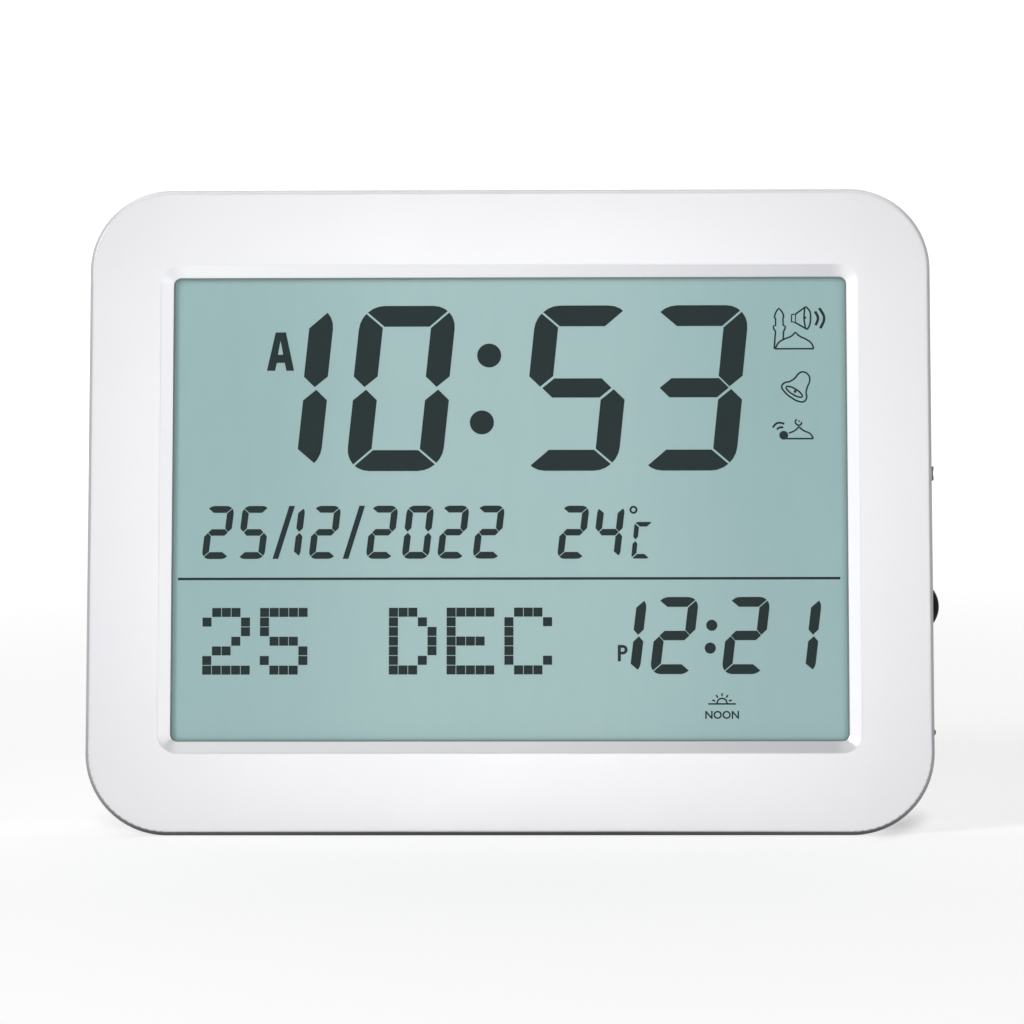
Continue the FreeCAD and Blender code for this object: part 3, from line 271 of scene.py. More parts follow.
def pearl_lacquer():
    """Pearl lacquer on the face. Painted light and shade make the slopes above and below the window
    lighter at the left and greyer to the right, and the outer edge is bare plastic with painted
    shade, darkest low down."""
    made, tree, shader = new_material("pearl_lacquer")
    on_face_plan = node(tree, "ShaderNodeMapping",
                        {"Vector": object_place(tree), "Location": FACE.to_translation(),
                         "Rotation": FACE.to_euler()}, vector_type="TEXTURE").outputs[0]
    across, up, rise = axes(tree, on_face_plan)
    from_middle = vector_calc(tree, "ADD", on_face_plan, (0, -FACE_MIDDLE * MM, 0))
    aside, above, _ = axes(tree, vector_calc(tree, "ABSOLUTE", from_middle))
    behind_face = spread(tree, rise, -SKIN_TOP * MM, -SKIN_DEPTH * MM, soft=True)
    near_face = spread(tree, rise, -EDGE_END * MM, -EDGE_START * MM, soft=True)
    outside = calc(tree, "MAXIMUM", calc(tree, "GREATER_THAN", aside, EDGE_ACROSS * MM),
                   calc(tree, "GREATER_THAN", above, EDGE_UP * MM))
    edge = calc(tree, "MULTIPLY", calc(tree, "MULTIPLY", outside, behind_face), near_face)
    slope = calc(tree, "SUBTRACT", behind_face, outside, clamp=True)
    beyond_window = spread(tree, above, (WINDOW_HALF_HEIGHT - 1.8) * MM,
                           (WINDOW_HALF_HEIGHT + 0.2) * MM, soft=True)
    before_corner = spread(tree, aside, (WINDOW_HALF_WIDTH + 1) * MM,
                           (WINDOW_HALF_WIDTH - 5) * MM, soft=True)
    slope = calc(tree, "MULTIPLY", calc(tree, "MULTIPLY", slope, beyond_window), before_corner)
    colour, rough, height = moulded(tree, srgb(243, 243, 246), srgb(239, 239, 242), grain=0.35,
                                    contrast=0.035, rough=0.3, rubbed=0.05)
    # Painted light and shade: the top and bottom slopes run from near white at the left to grey at
    # the right.
    painted_slope_shade = ramp(tree, spread(tree, across, -WINDOW_HALF_WIDTH * MM, WINDOW_HALF_WIDTH * MM),
                ((0, (250, 250, 252)), (0.5, (241, 241, 244)), (1, (214, 214, 218))))
    # Painted shade on the outer edge: near black at the foot, grey up the sides, light at the top.
    bare = ramp(tree, spread(tree, up, 0.0, EDGE_TOP * MM),
                ((0, (76, 76, 78)), (0.04, (118, 118, 121)), (0.1, (154, 154, 157)),
                 (0.2, (173, 173, 176)), (0.86, (180, 180, 183)), (0.97, (205, 205, 208)),
                 (1, (249, 249, 251))))
    colour = mixed(tree, edge, mixed(tree, slope, colour, painted_slope_shade), bare)
    coat(tree, shader, colour, spread(tree, edge, 0.0, 1.0, rough, 0.6), height, bump=0.004)
    tree.links.new(spread(tree, edge, 0.0, 1.0, 0.22, 0.0), shader.inputs["Metallic"])
    return made


blended("front_bezel", pearl_lacquer())


# ---- Window seal -------------------------------------------------------------
# A narrow frame of foam tape between the face and the display, which keeps dust out. Its lip shows
# as the fine dark line round the display; that line is partly the rim's shade, so the foam's
# grey-green colour is partly painted shade.

def plastic(name, colour, cloud, grain, contrast, rough, bump, rubbed=0.1, **plain):
    """A moulded material; grain is its size and bump its depth, in millimetres."""
    made, tree, shader = new_material(name, **plain)
    coat(tree, shader, *moulded(tree, srgb(*colour), srgb(*cloud), grain, contrast, rough, rubbed),
         bump)
    return made


def dress(finish, *names):
    """Give CAD nodes a finish."""
    for name in names:
        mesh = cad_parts[name].data
        mesh.materials.clear()
        mesh.materials.append(finish)


# Partly painted shade: the foam's colour is set to the dark line at the display's edge.
shade_line_foam = plastic("shade_line_foam", (124, 138, 138), (132, 146, 146),
                    grain=0.2, contrast=0.5, rough=0.85, rubbed=0.05, bump=0.05)
dress(shade_line_foam, "window_gasket")


# ---- Display cell ------------------------------------------------------------
# Two glasses with liquid crystal between them, a matt polariser in front and a reflector
# behind. Through its films the cell looks like one grey-green sheet, so the front film shows it.

def lcd_sheet():
    """The matt front film: faint upright streaks of the cell, with a painted reflection that makes
    it a little lighter in the middle and towards the bottom.
    """
    made, tree, shader = new_material("lcd_sheet", specular_ior_level=0.5)
    place = object_place(tree)
    drawn = node(tree, "ShaderNodeMapping", {"Vector": place, "Scale": (1, 1, 0.02)}).outputs[0]
    streaks = noise(tree, drawn, 260.0, 2.0)
    across, _, up = axes(tree, place)
    # Painted reflection: a lighter tone in the middle, darker towards the sides, and a paler tone
    # mixed in towards the bottom.
    aside = spread(tree, calc(tree, "ABSOLUTE", across), 22 * MM, 82 * MM, soft=True)
    low = spread(tree, up, 120 * MM, 35 * MM, 0.0, 0.12)
    light = mixed(tree, streaks, srgb(162, 193, 193), srgb(166, 197, 196))
    dark = mixed(tree, streaks, srgb(151, 183, 184), srgb(155, 187, 187))
    tone = mixed(tree, low, mixed(tree, aside, light, dark), srgb(186, 214, 212))
    coat(tree, shader, *moulded(tree, tone, tone, grain=0.25, contrast=0.02, rough=0.4,
                                rubbed=0.04), bump=0.002)
    return made


dress(lcd_sheet(), "lcd_front_polariser")


def cell_glass():
    """Thin float glass with a faint green cast and the smears of its polish."""
    made, tree, shader = new_material("cell_glass", transmission_weight=1.0, ior=1.52)
    smears = noise(tree, object_place(tree), 90.0, 3.0)
    cast = mixed(tree, smears, srgb(224, 240, 235), srgb(229, 243, 239))
    feed(tree, shader.inputs,
         {"Base Color": cast, "Roughness": spread(tree, smears, 0.0, 1.0, 0.02, 0.06)})
    return made


dress(cell_glass(), "lcd_front_glass", "lcd_rear_glass")
dress(plastic("reflector_film", (196, 201, 198), (186, 192, 190), grain=0.4, contrast=0.1,
              rough=0.3, bump=0.003, metallic=0.9), "lcd_reflector")
dress(plastic("connector_rubber", (72, 74, 78), (60, 61, 64), grain=0.25, contrast=0.4,
              rough=0.7, bump=0.02), "zebra_strips")
inner_plastic = plastic("inner_plastic", (232, 232, 228), (224, 224, 220), grain=0.5,
                        contrast=0.05, rough=0.5, bump=0.01)
dress(inner_plastic, "lcd_holder")


# ---- Seven-bar characters ----------------------------------------------------
# The dark bars of the time, the date, the temperature and the second time. Each is an area
# of liquid crystal that is switched on, drawn as a thin dark plate on the film.

FILM_DEPTH = 3.2
BAR_THICKNESS = 0.02
MITRE = 0.86
BARS_OF = {"0": "abcdef", "1": "bc", "2": "abged", "3": "abgcd", "4": "fgbc", "5": "afgcd",
           "C": "afed"}

display_ink = plastic("display_ink", (24, 41, 43), (28, 45, 47), grain=0.4, contrast=0.06,
                      rough=0.45, rubbed=0.05, bump=0.001, specular_ior_level=0.3)


def on_face(mesh, depth):
    """Stand a flat mesh, drawn in millimetres, on the leaning face at a depth behind it."""
    mesh.transform(FACE @ Matrix.Scale(MM, 4) @ Matrix.Translation((0, 0, -depth)))
    return mesh


def flat_plates(outlines, thickness):
    """Closed flat plates from outlines; an outline inside another is a hole in it."""
    curve = bpy.data.curves.new("plates", "CURVE")
    curve.dimensions = "2D"
    curve.fill_mode = "BOTH"
    curve.extrude = thickness / 2
    for points in outlines:
        spline = curve.splines.new("POLY")
        spline.points.add(len(points) - 1)
        for point, (across, up) in zip(spline.points, points):
            point.co = (across, up, 0, 1)
        spline.use_cyclic_u = True
    return plain_mesh(curve)


def arc_points(across, up, radius, start, end, steps):
    """Points on an arc, its angles in degrees."""
    turns = [math.radians(start + (end - start) * step / steps) for step in range(steps + 1)]
    return [(across + radius * math.cos(turn), up + radius * math.sin(turn)) for turn in turns]


def keep_left(points, start, end, gap=0):
    """What lies to the left of a line, and at least a gap away from it."""
    along = (Vector(end) - Vector(start)).normalized()
    normal = Vector((-along.y, along.x))
    kept = []
    for index, point in enumerate(points):
        before = points[index - 1]
        here = (Vector(point) - Vector(start)).dot(normal) - gap
        there = (Vector(before) - Vector(start)).dot(normal) - gap
        if here * there < 0:
            kept.append(tuple(Vector(before).lerp(Vector(point), there / (there - here))))
        if here >= 0:
            kept.append(point)
    return kept


class BarDigit:
    """One size of seven-bar digit: the breadth of its upright, level and middle bars, the gap
    between bars, its lean, and the jog between its halves at the middle."""

    def __init__(self, width, height, upright, level, middle, corner, gap, lean, jog):
        self.width, self.height, self.upright = width, height, upright
        self.lean, self.jog, self.edge = lean, jog, gap / 2
        half = height / 2
        box = []
        for across, up, start in (
                (width - corner, corner, -90), (width - corner, height - corner, 0),
                (corner, height - corner, 90), (corner, corner, 180)):
            box += arc_points(across, up, corner, start, start + 90, 6)
        above = keep_left(box, (0, half), (width, half))
        top = self.leaned(keep_left(box, (0, height - level), (width, height - level)))
        left = self.leaned(keep_left(above, (upright, 0), (upright, height)))
        right = self.leaned(keep_left(above, (width - upright, height), (width - upright, 0)))
        bar = [(across, half + up) for across, up in
               ((0, -middle / 2), (width, -middle / 2), (width, middle / 2), (0, middle / 2))]
        bar = self.leaned(bar, 0)
        inner_left, inner_right = self.leaned([(upright, height - level),
                                               (width - upright, height - level)])
        outer_left = (inner_left[0] - level, inner_left[1] + MITRE * level)
        outer_right = (inner_right[0] + level, inner_right[1] + MITRE * level)
        top = keep_left(top, outer_left, inner_left, self.edge)
        top = keep_left(top, inner_right, outer_right, self.edge)
        left = keep_left(left, inner_left, outer_left, self.edge)
        right = keep_left(right, outer_right, inner_right, self.edge)
        bend = middle / 2 + self.edge
        left_tip, right_tip = (upright / 2, half), (width - upright / 2, half)
        left = self.pointed(left, left_tip, bend)
        right = self.pointed(right, right_tip, bend)
        for tip, side in ((left_tip, 1), (right_tip, -1)):
            for sign in (1, -1):
                inner = (tip[0] + side * upright / 2, half + sign * bend)
                line = (inner, tip) if side * sign > 0 else (tip, inner)
                bar = keep_left(bar, *self.leaned(line, 0), self.edge)
        self.bars = {"a": top, "f": left, "b": right, "g": bar, "d": self.turned(top),
                     "c": self.turned(left), "e": self.turned(right)}

    def leaned(self, points, shift=None):
        """Lean points about the digit's middle; the upper half moves back by half the jog."""
        if shift is None:
            shift = -self.jog / 2
        return [(across + self.lean * (up - self.height / 2) + shift, up) for across, up in points]

    def pointed(self, points, tip, bend):
        """Cut the foot of an upper upright bar to its point."""
        shoulders = [(tip[0] + side * self.upright / 2, tip[1] + bend) for side in (-1, 1)]
        left, tip, right = self.leaned([shoulders[0], tip, shoulders[1]])
        return keep_left(keep_left(points, left, tip, self.edge), tip, right, self.edge)

    def turned(self, points):
        """Half a turn about the digit's middle."""
        return [(self.width - across, self.height - up) for across, up in points]

    def outlines(self, character, left, low):
        """The bars of a character; left is its edge at half height, low is its foot."""
        return [[(left + across, low + up) for across, up in self.bars[bar]]
                for bar in BARS_OF[character]]


def bar_row(digit, low, places):
    """The bars of a row of characters, given as (character, left edge)."""
    return [bar for character, left in places for bar in digit.outlines(character, left, low)]


def round_dot(across, up, radius):
    """The outline of a round dot."""
    return arc_points(across, up, radius, 0, 345, 23)


def on_film(name, mesh):
    """A switched-on area of the display, laid on its front film."""
    show(name, on_face(mesh, FILM_DEPTH - BAR_THICKNESS / 2), display_ink)


TIME_LOW = 106.1
time_digit = BarDigit(width=28.0, height=48.6, upright=6.98, level=6.15, middle=5.65,
                      corner=6.9, gap=0.56, lean=0.103, jog=0.5)
time_bars = bar_row(time_digit, TIME_LOW,
                    (("1", -81.14), ("0", -45.58), ("5", 5.6), ("3", 39.76)))
time_bars += [round_dot(-5.97, 140.0, 3.53), round_dot(-8.08, 120.33, 3.53)]
morning_mark = [
    [(-70.84, 135.63), (-68.34, 146.96), (-65.33, 146.96), (-62.9, 135.63), (-65.15, 135.63),
     (-65.65, 137.96), (-67.93, 137.96), (-68.44, 135.63)],
    [(-67.64, 140.38), (-66.9, 144.5), (-66.12, 140.38)],
]
on_film("time_bars", flat_plates(time_bars + morning_mark, BAR_THICKNESS))

DATE_LOW, DATE_HEIGHT = 80.46, 15.5
SLASH_LEAN, SLASH_HALF = 0.309, 0.83
date_digit = BarDigit(width=7.9, height=DATE_HEIGHT, upright=1.95, level=2.02, middle=1.9,
                      corner=2.2, gap=0.2, lean=0.115, jog=0.13)
date_bars = bar_row(date_digit, DATE_LOW,
                    (("2", -88.7), ("5", -78.36), ("1", -68.02), ("2", -57.62),
                     ("2", -41.0), ("0", -30.56), ("2", -20.3), ("2", -10.0)))
for middle in (-65.64, -45.24):
    date_bars.append([(middle + across + SLASH_LEAN * (up - DATE_HEIGHT / 2), DATE_LOW + up)
                      for across, up in ((-SLASH_HALF, 0), (SLASH_HALF, 0),
                                         (SLASH_HALF, DATE_HEIGHT), (-SLASH_HALF, DATE_HEIGHT))])
date_bars += bar_row(date_digit, DATE_LOW - 0.08, (("2", 14.52), ("4", 24.85)))
degree_digit = BarDigit(width=5.3, height=10.7, upright=1.4, level=1.36, middle=1.3,
                        corner=1.0, gap=0.3, lean=0.1, jog=0.0)
date_bars += bar_row(degree_digit, DATE_LOW - 0.04, (("C", 35.78),))
date_bars += [round_dot(35.97, 94.66, 1.18), round_dot(35.97, 94.66, 0.58)]
on_film("date_bars", flat_plates(date_bars, BAR_THICKNESS))

SECOND_LOW = 46.82
second_digit = BarDigit(width=12.0, height=22.4, upright=2.92, level=2.87, middle=2.75,
                        corner=3.2, gap=0.28, lean=0.122, jog=0.3)
second_bars = bar_row(second_digit, SECOND_LOW,
                      (("1", 26.78), ("2", 41.73), ("2", 62.42), ("1", 77.35)))
second_bars += [round_dot(58.54, 60.98, 1.62), round_dot(58.07, 54.37, 1.62)]
afternoon_mark = [
    [(31.32, 50.55), (32.22, 50.55), (32.22, 52.55)]
    + arc_points(32.8, 53.93, 1.38, -90, 90, 8) + [(31.32, 55.31)],
    [(32.22, 54.49)] + arc_points(32.75, 53.93, 0.56, 90, -90, 8) + [(32.22, 53.37)],
]
on_film("second_time_bars", flat_plates(second_bars + afternoon_mark, BAR_THICKNESS))


# ---- Dot characters and dividing line ----------------------------------------
# The day and the month on the lower left, in square dots, seven high and five wide, and the
# thin line that divides the display. They are liquid crystal too.

DOT_PITCH = 2.795
DOT_SIDE = 2.62
DOT_TOP = 66.19
DOT_ROWS = {
    "2": ".XXX. X...X ....X ...X. .XX.. X.... XXXXX",
    "5": "XXXXX X.... X.... .XXX. ....X X...X .XXX.",
    "D": "XXX.. X..X. X...X X...X X...X X..X. XXX..",
    "E": "XXXXX X.... X.... XXXX. X.... X.... XXXXX",
    "C": ".XXX. X...X X.... X.... X.... X...X .XXX.",
}
DOT_PLACES = (("2", -89.05), ("5", -72.36), ("D", -34.95), ("E", -18.23), ("C", -1.49))


def mesh_tree(name, sizes):
    """A geometry node tree that takes a mesh, its own named sizes and a material."""
    return group_tree(name, "GeometryNodeTree",
                      {"Geometry": "Geometry", **sizes, "Material": "Material"},
                      {"Geometry": "Geometry"})


def on_points(tree, given, shape):
    """A shape placed on every point of the mesh."""
    return node(tree, "GeometryNodeInstanceOnPoints",
                {"Points": given["Geometry"], "Instance": shape}).outputs[0]


def finish_tree(tree, geometry, given, out):
    """The end of a tree: its copies made real, and its material."""
    solid = node(tree, "GeometryNodeRealizeInstances", {"Geometry": geometry}).outputs[0]
    dressed = node(tree, "GeometryNodeSetMaterial",
                   {"Geometry": solid, "Material": given["Material"]})
    tree.links.new(dressed.outputs[0], out["Geometry"])
    return tree


def apply_tree(mesh, tree, values):
    """Run a geometry node tree on a mesh, its named inputs set first; the result is a mesh."""
    holder = in_scene("holder", mesh)
    modifier = holder.modifiers.new("tree", "NODES")
    modifier.node_group = tree
    for item in tree.interface.items_tree:
        if item.in_out == "INPUT" and item.name in values:
            modifier[item.identifier] = values[item.name]
    return take_mesh(holder)


def points_mesh(points):
    """A mesh of loose points."""
    mesh = bpy.data.meshes.new("points")
    mesh.from_pydata(points, [], [])
    return mesh


def dots_tree():
    """A square plate on every point."""
    tree, given, out = mesh_tree("square_dots", {"Side": "Float", "Thickness": "Float"})
    extent = node(tree, "ShaderNodeCombineXYZ",
                  {"X": given["Side"], "Y": given["Side"], "Z": given["Thickness"]})
    plate = node(tree, "GeometryNodeMeshCube", {"Size": extent.outputs[0]})
    return finish_tree(tree, on_points(tree, given, plate.outputs["Mesh"]), given, out)


dots = [(left + DOT_SIDE / 2 + column * DOT_PITCH, DOT_TOP - DOT_SIDE / 2 - row * DOT_PITCH, 0)
        for character, left in DOT_PLACES
        for row, line in enumerate(DOT_ROWS[character].split())
        for column, lit in enumerate(line) if lit == "X"]
on_film("dot_characters", apply_tree(
    points_mesh(dots), dots_tree(),
    {"Side": DOT_SIDE, "Thickness": BAR_THICKNESS, "Material": display_ink}))

LINE_LEFT, LINE_RIGHT, LINE_UP, LINE_HALF = -96.3, 95.8, 74.65, 0.37
divider = [(LINE_LEFT, LINE_UP - LINE_HALF), (LINE_RIGHT, LINE_UP - LINE_HALF),
           (LINE_RIGHT, LINE_UP + LINE_HALF), (LINE_LEFT, LINE_UP + LINE_HALF)]
on_film("dividing_line", flat_plates([divider], BAR_THICKNESS))


# ---- Display signs -----------------------------------------------------------
# Small line signs on the right of the display: a tower and dome with a horn, a bell, and a
# dome with a dot. They are thin liquid crystal lines of an even width.

STROKE, HORN_WAVE, DOME_WAVE, NOON_STROKE = 0.48, 0.78, 0.58, 0.45


def curved(points, closed=False):
    """A smooth line through points."""
    return {"points": points, "closed": closed, "smooth": True}


def straight(points, closed=False):
    """Straight lines from point to point."""
    return {"points": points, "closed": closed, "smooth": False}


def stroke_mesh(lines, width):
    """Round lines of one width, pressed flat."""
    curve = bpy.data.curves.new("strokes", "CURVE")
    curve.dimensions = "3D"
    curve.bevel_depth = width / 2
    curve.bevel_resolution = 1
    curve.resolution_u = 6
    curve.use_fill_caps = True
    for line in lines:
        spline = curve.splines.new("BEZIER" if line["smooth"] else "POLY")
        if line["smooth"]:
            spline.bezier_points.add(len(line["points"]) - 1)
            for point, (across, up) in zip(spline.bezier_points, line["points"]):
                point.co = (across, up, 0)
                point.handle_left_type = point.handle_right_type = "AUTO"
        else:
            spline.points.add(len(line["points"]) - 1)
            for point, (across, up) in zip(spline.points, line["points"]):
                point.co = (across, up, 0, 1)
        spline.use_cyclic_u = line["closed"]
    mesh = plain_mesh(curve)
    mesh.transform(Matrix.Diagonal((1, 1, BAR_THICKNESS / width, 1)))
    return mesh


def ellipse(across, up, long_half, short_half, tilt):
    """Points on an ellipse whose long axis is turned by a tilt in degrees."""
    cosine, sine = math.cos(math.radians(tilt)), math.sin(math.radians(tilt))
    points = []
    for turn in range(0, 360, 45):
        x, y = long_half * math.cos(math.radians(turn)), short_half * math.sin(math.radians(turn))
        points.append((across + x * cosine - y * sine, up + x * sine + y * cosine))
    return points


tower_and_dome = [
    straight([(77.1, 141.8), (77.5, 146.9), (76.95, 147.8), (76.9, 148.45), (77.55, 148.7),
              (77.55, 150.6), (77.2, 151.15), (77.4, 151.75), (77.62, 152.5), (78.0, 153.15),
              (78.52, 153.75), (79.05, 153.2), (79.5, 152.6), (79.86, 151.75), (79.9, 151.15),
              (79.7, 150.85), (79.75, 148.7), (80.35, 148.45), (80.3, 147.8), (79.85, 146.9),
              (79.75, 144.4)]),
    straight([(77.25, 141.8), (88.6, 141.8)]),
    curved([(77.4, 141.9), (78.5, 143.7), (80.2, 144.7), (82.2, 145.6), (83.25, 146.7)]),
    curved([(83.25, 146.7), (84.4, 145.6), (86.4, 144.6), (88.0, 143.3), (88.6, 141.9)]),
]
horn = [
    straight([(82.25, 151.85), (83.35, 152.0), (83.3, 149.5), (82.15, 149.8)], closed=True),
    straight([(83.35, 152.0), (86.4, 154.2)]),
    straight([(83.3, 149.5), (86.8, 147.5)]),
    curved([(86.4, 154.2), (87.5, 152.9), (87.75, 150.9), (87.5, 148.9), (86.8, 147.5)]),
    curved([(86.05, 153.8), (85.85, 150.9), (86.2, 147.9)]),
]
bell = [
    curved([(85.4, 135.0), (86.9, 134.2), (87.4, 132.6), (86.7, 130.6), (86.3, 129.1),
            (86.4, 127.3), (85.7, 126.3), (84.2, 126.3), (81.9, 127.5), (79.9, 129.3),
            (79.2, 130.7), (79.9, 131.7), (81.6, 132.2), (83.1, 133.2), (84.2, 134.5)],
           closed=True),
    curved(ellipse(82.85, 129.15, 2.7, 0.85, -32), closed=True),
]
lower_dome = [
    straight([(80.0, 115.4), (88.3, 115.4)]),
    curved([(81.2, 117.0), (83.0, 117.8), (84.1, 118.9)]),
    curved([(84.1, 118.9), (85.4, 117.8), (87.3, 116.9), (88.3, 115.5)]),
    curved([(83.5, 121.1), (83.1, 120.3), (83.6, 119.5), (84.5, 119.4), (85.0, 120.2)]),
]
horn_waves = [curved([(89.1, 152.8), (89.9, 150.8), (89.2, 148.7)]),
              curved([(90.3, 153.8), (91.7, 150.9), (90.6, 147.8)])]
dome_waves = [curved([(77.7, 118.1), (78.5, 118.65), (79.6, 118.7)]),
              curved([(76.5, 118.7), (77.9, 120.0), (79.9, 119.8)])]
sign_dots = [round_dot(86.1, 150.95, 0.4), round_dot(83.1, 129.25, 0.42),
             round_dot(79.7, 116.4, 1.3), round_dot(84.2, 120.55, 0.24)]
on_film("sign_outlines", stroke_mesh(tower_and_dome + horn + bell + lower_dome, STROKE))
on_film("horn_waves", stroke_mesh(horn_waves, HORN_WAVE))
on_film("dome_waves", stroke_mesh(dome_waves, DOME_WAVE))
on_film("sign_dots", flat_plates(sign_dots, BAR_THICKNESS))


CAPITAL_SHARE = 0.7


def words(text, height, across, up, thickness, bold=0):
    """Plain lettering as closed plates, drawn flat in millimetres."""
    letters = bpy.data.curves.new("letters", "FONT")
    letters.body = text
    letters.size = height / CAPITAL_SHARE
    letters.align_x = letters.align_y = "CENTER"
    letters.extrude = thickness / 2
    letters.offset = bold
    letters.resolution_u = 3
    mesh = plain_mesh(letters)
    mesh.transform(Matrix.Translation((across, up, 0)))
    return mesh


SUN_ACROSS, SUN_UP = 61.4, 38.3
noon_lines = [straight([(57.4, 38.2), (65.4, 38.2)]),
              curved(arc_points(SUN_ACROSS, SUN_UP, 1.5, 0, 180, 4))]
for turn in (20, 55, 90, 125, 160):
    noon_lines.append(straight([arc_points(SUN_ACROSS, SUN_UP, reach, turn, turn, 1)[0]
                                for reach in (2.1, 3.0)]))
on_film("noon_sign", stroke_mesh(noon_lines, NOON_STROKE))
on_film("noon_word", words("NOON", 2.2, SUN_ACROSS, 34.9, BAR_THICKNESS, bold=0.07))


# ---- Circuit board and its parts ---------------------------------------------
# A green glass-epoxy board behind the display, with the clock chip under a drop of black
# epoxy, two moulded chips, a crystal in its can and three capacitors soldered to its back.

def circuit_board():
    """Green solder mask over fine copper tracks."""
    made, tree, shader = new_material("circuit_board", coat_weight=0.4, coat_roughness=0.2)
    place = object_place(tree)
    tracks = node(tree, "ShaderNodeTexBrick",
                  {"Vector": place, "Scale": 160.0, "Mortar Size": 0.05,
                   "Color1": srgb(24, 92, 56), "Color2": srgb(20, 84, 50),
                   "Mortar": srgb(40, 120, 70)})
    rough = spread(tree, noise(tree, place, 900.0, 2.0), 0.0, 1.0, 0.3, 0.45)
    coat(tree, shader, tracks.outputs["Color"], rough, tracks.outputs["Fac"], bump=0.02)
    return made


dress(circuit_board(), "main_board", "key_board")
black_epoxy = plastic("black_epoxy", (24, 24, 26), (32, 32, 34), grain=0.3, contrast=0.2,
                      rough=0.35, rubbed=0.15, bump=0.004)
dress(black_epoxy, "clock_chip", "voice_chip", "amplifier_chip")
can_tin = plastic("can_tin", (196, 196, 192), (178, 178, 176), grain=0.25, contrast=0.1,
                  rough=0.28, rubbed=0.2, bump=0.002, metallic=1.0)
dress(can_tin, "quartz_crystal")
dress(plastic("capacitor_sleeve", (28, 34, 60), (34, 40, 70), grain=0.5, contrast=0.1,
              rough=0.3, bump=0.002), "capacitors")


# ---- Side controls -----------------------------------------------------------
# A black knurled thumbwheel for the volume, a grey slide knob for the call, and a black
# thermistor bead. All three reach through notches in the right side of the rear cover.

WHEEL_ACROSS, WHEEL_UP, WHEEL_RADIUS = 116.9, 67.5, 8.28
WHEEL_DEPTH, WHEEL_THICKNESS = 14.3, 2.7
SHAFT_RADIUS = 1.65
wheel_black = plastic("wheel_black", (8, 8, 9), (12, 12, 13), grain=0.25, contrast=0.25,
                      rough=0.5, bump=0.006, specular_ior_level=0.2)


def lathe(profile, steps):
    """Turn a profile of (radius, height) points about the Z axis; radius 0 closes a pole."""
    mesh = bmesh.new()
    rings = []
    for radius, height in profile:
        if radius == 0:
            rings.append([mesh.verts.new((0, 0, height))])
        else:
            turns = [2 * math.pi * step / steps for step in range(steps)]
            rings.append([mesh.verts.new((radius * math.cos(turn), radius * math.sin(turn),
                                          height)) for turn in turns])
    for lower, upper in zip(rings, rings[1:]):
        for step in range(steps):
            after = (step + 1) % steps
            corners = [lower[step % len(lower)], lower[after % len(lower)],
                       upper[after % len(upper)], upper[step % len(upper)]]
            mesh.faces.new(list(dict.fromkeys(corners)))
    if profile[0] == profile[-1]:
        bmesh.ops.remove_doubles(mesh, verts=mesh.verts, dist=1e-6)
    bmesh.ops.recalc_face_normals(mesh, faces=mesh.faces)
    return smooth_mesh(mesh)


def knurled_wheel():
    """The wheel's rim as a gear of small rounded teeth, with a dished face."""
    teeth, tooth, rounding = 72, 0.2, 0.35
    dish_radius, dish = WHEEL_RADIUS - 2.2, 0.3
    half = WHEEL_THICKNESS / 2
    profile = [(SHAFT_RADIUS, -half), (WHEEL_RADIUS - tooth - rounding, -half),
               (WHEEL_RADIUS, -half + rounding), (WHEEL_RADIUS, half - rounding),
               (WHEEL_RADIUS - tooth - rounding, half), (dish_radius, half),
               (dish_radius - dish, half - dish), (SHAFT_RADIUS, half - dish),
               (SHAFT_RADIUS, -half)]
    mesh = lathe(profile, 4 * teeth)
    for vertex in mesh.vertices:
        radius = math.hypot(vertex.co.x, vertex.co.y)
        if radius > WHEEL_RADIUS - 0.01:
            turn = math.atan2(vertex.co.y, vertex.co.x)
            cut = tooth * max(0, math.cos(teeth * turn)) ** 2
            vertex.co.x *= (radius - cut) / radius
            vertex.co.y *= (radius - cut) / radius
    mesh.transform(Matrix.Translation((WHEEL_ACROSS, WHEEL_UP, -half)))
    return mesh


show("knurled_wheel", on_face(knurled_wheel(), WHEEL_DEPTH), wheel_black,
     "volume_wheel", ("volume_thumbwheel",))
dress(inner_plastic, "volume_potentiometer")
dress(plastic("knob_grey", (96, 98, 100), (86, 88, 90), grain=0.3, contrast=0.1,
              rough=0.45, bump=0.006), "slide_switch_knob")
steel = plastic("plated_steel", (190, 192, 194), (172, 174, 178), grain=0.2, contrast=0.12,
                rough=0.3, rubbed=0.2, bump=0.002, metallic=1.0)
dress(steel, "thumbwheel_screw", "slide_switch_body", "board_screws", "key_board_screws",
      "speaker_screws", "leg_pin")
dress(plastic("bead_epoxy", (36, 36, 38), (46, 46, 48), grain=0.2, contrast=0.2,
              rough=0.3, bump=0.004), "temperature_sensor")


# ---- Rear cover --------------------------------------------------------------
# The back half of the case, moulded in plain white ABS with a spark-eroded texture. Raised
# lettering from the same mould names the keys and the side controls.

rear_abs = plastic("rear_abs", (238, 238, 238), (232, 232, 234), grain=0.55, contrast=0.03,
                   rough=0.5, rubbed=0.08, bump=0.03)
blended("rear_cover", rear_abs)

CASE_DEPTH = 30
LETTER_RISE = 0.25
KEY_ROW_UP, KEY_PITCH = 149, 24
KEY_NAMES = ("MODE", "SET", "-", "+", "ALARM", "CALL")
KEY_WORD_HEIGHT, KEY_WORD_DROP, SIDE_WORD_HEIGHT = 2.6, 8.6, 2.4
letter_ink = plastic("letter_grey", (150, 152, 155), (142, 144, 148), grain=0.3,
                     contrast=0.06, rough=0.5, rubbed=0.08, bump=0.006)


def on_back(mesh):
    """Turn flat lettering to face backwards and stand it on the back of the case."""
    mesh.transform(Matrix.Rotation(math.pi, 4, "Y"))
    return on_face(mesh, CASE_DEPTH + LETTER_RISE / 2)


def back_words(name, text, height, across, up):
    """Lettering on the back; across is measured in the clock's own frame, seen from the front."""
    show(name, on_back(words(text, height, -across, up, LETTER_RISE)), letter_ink)


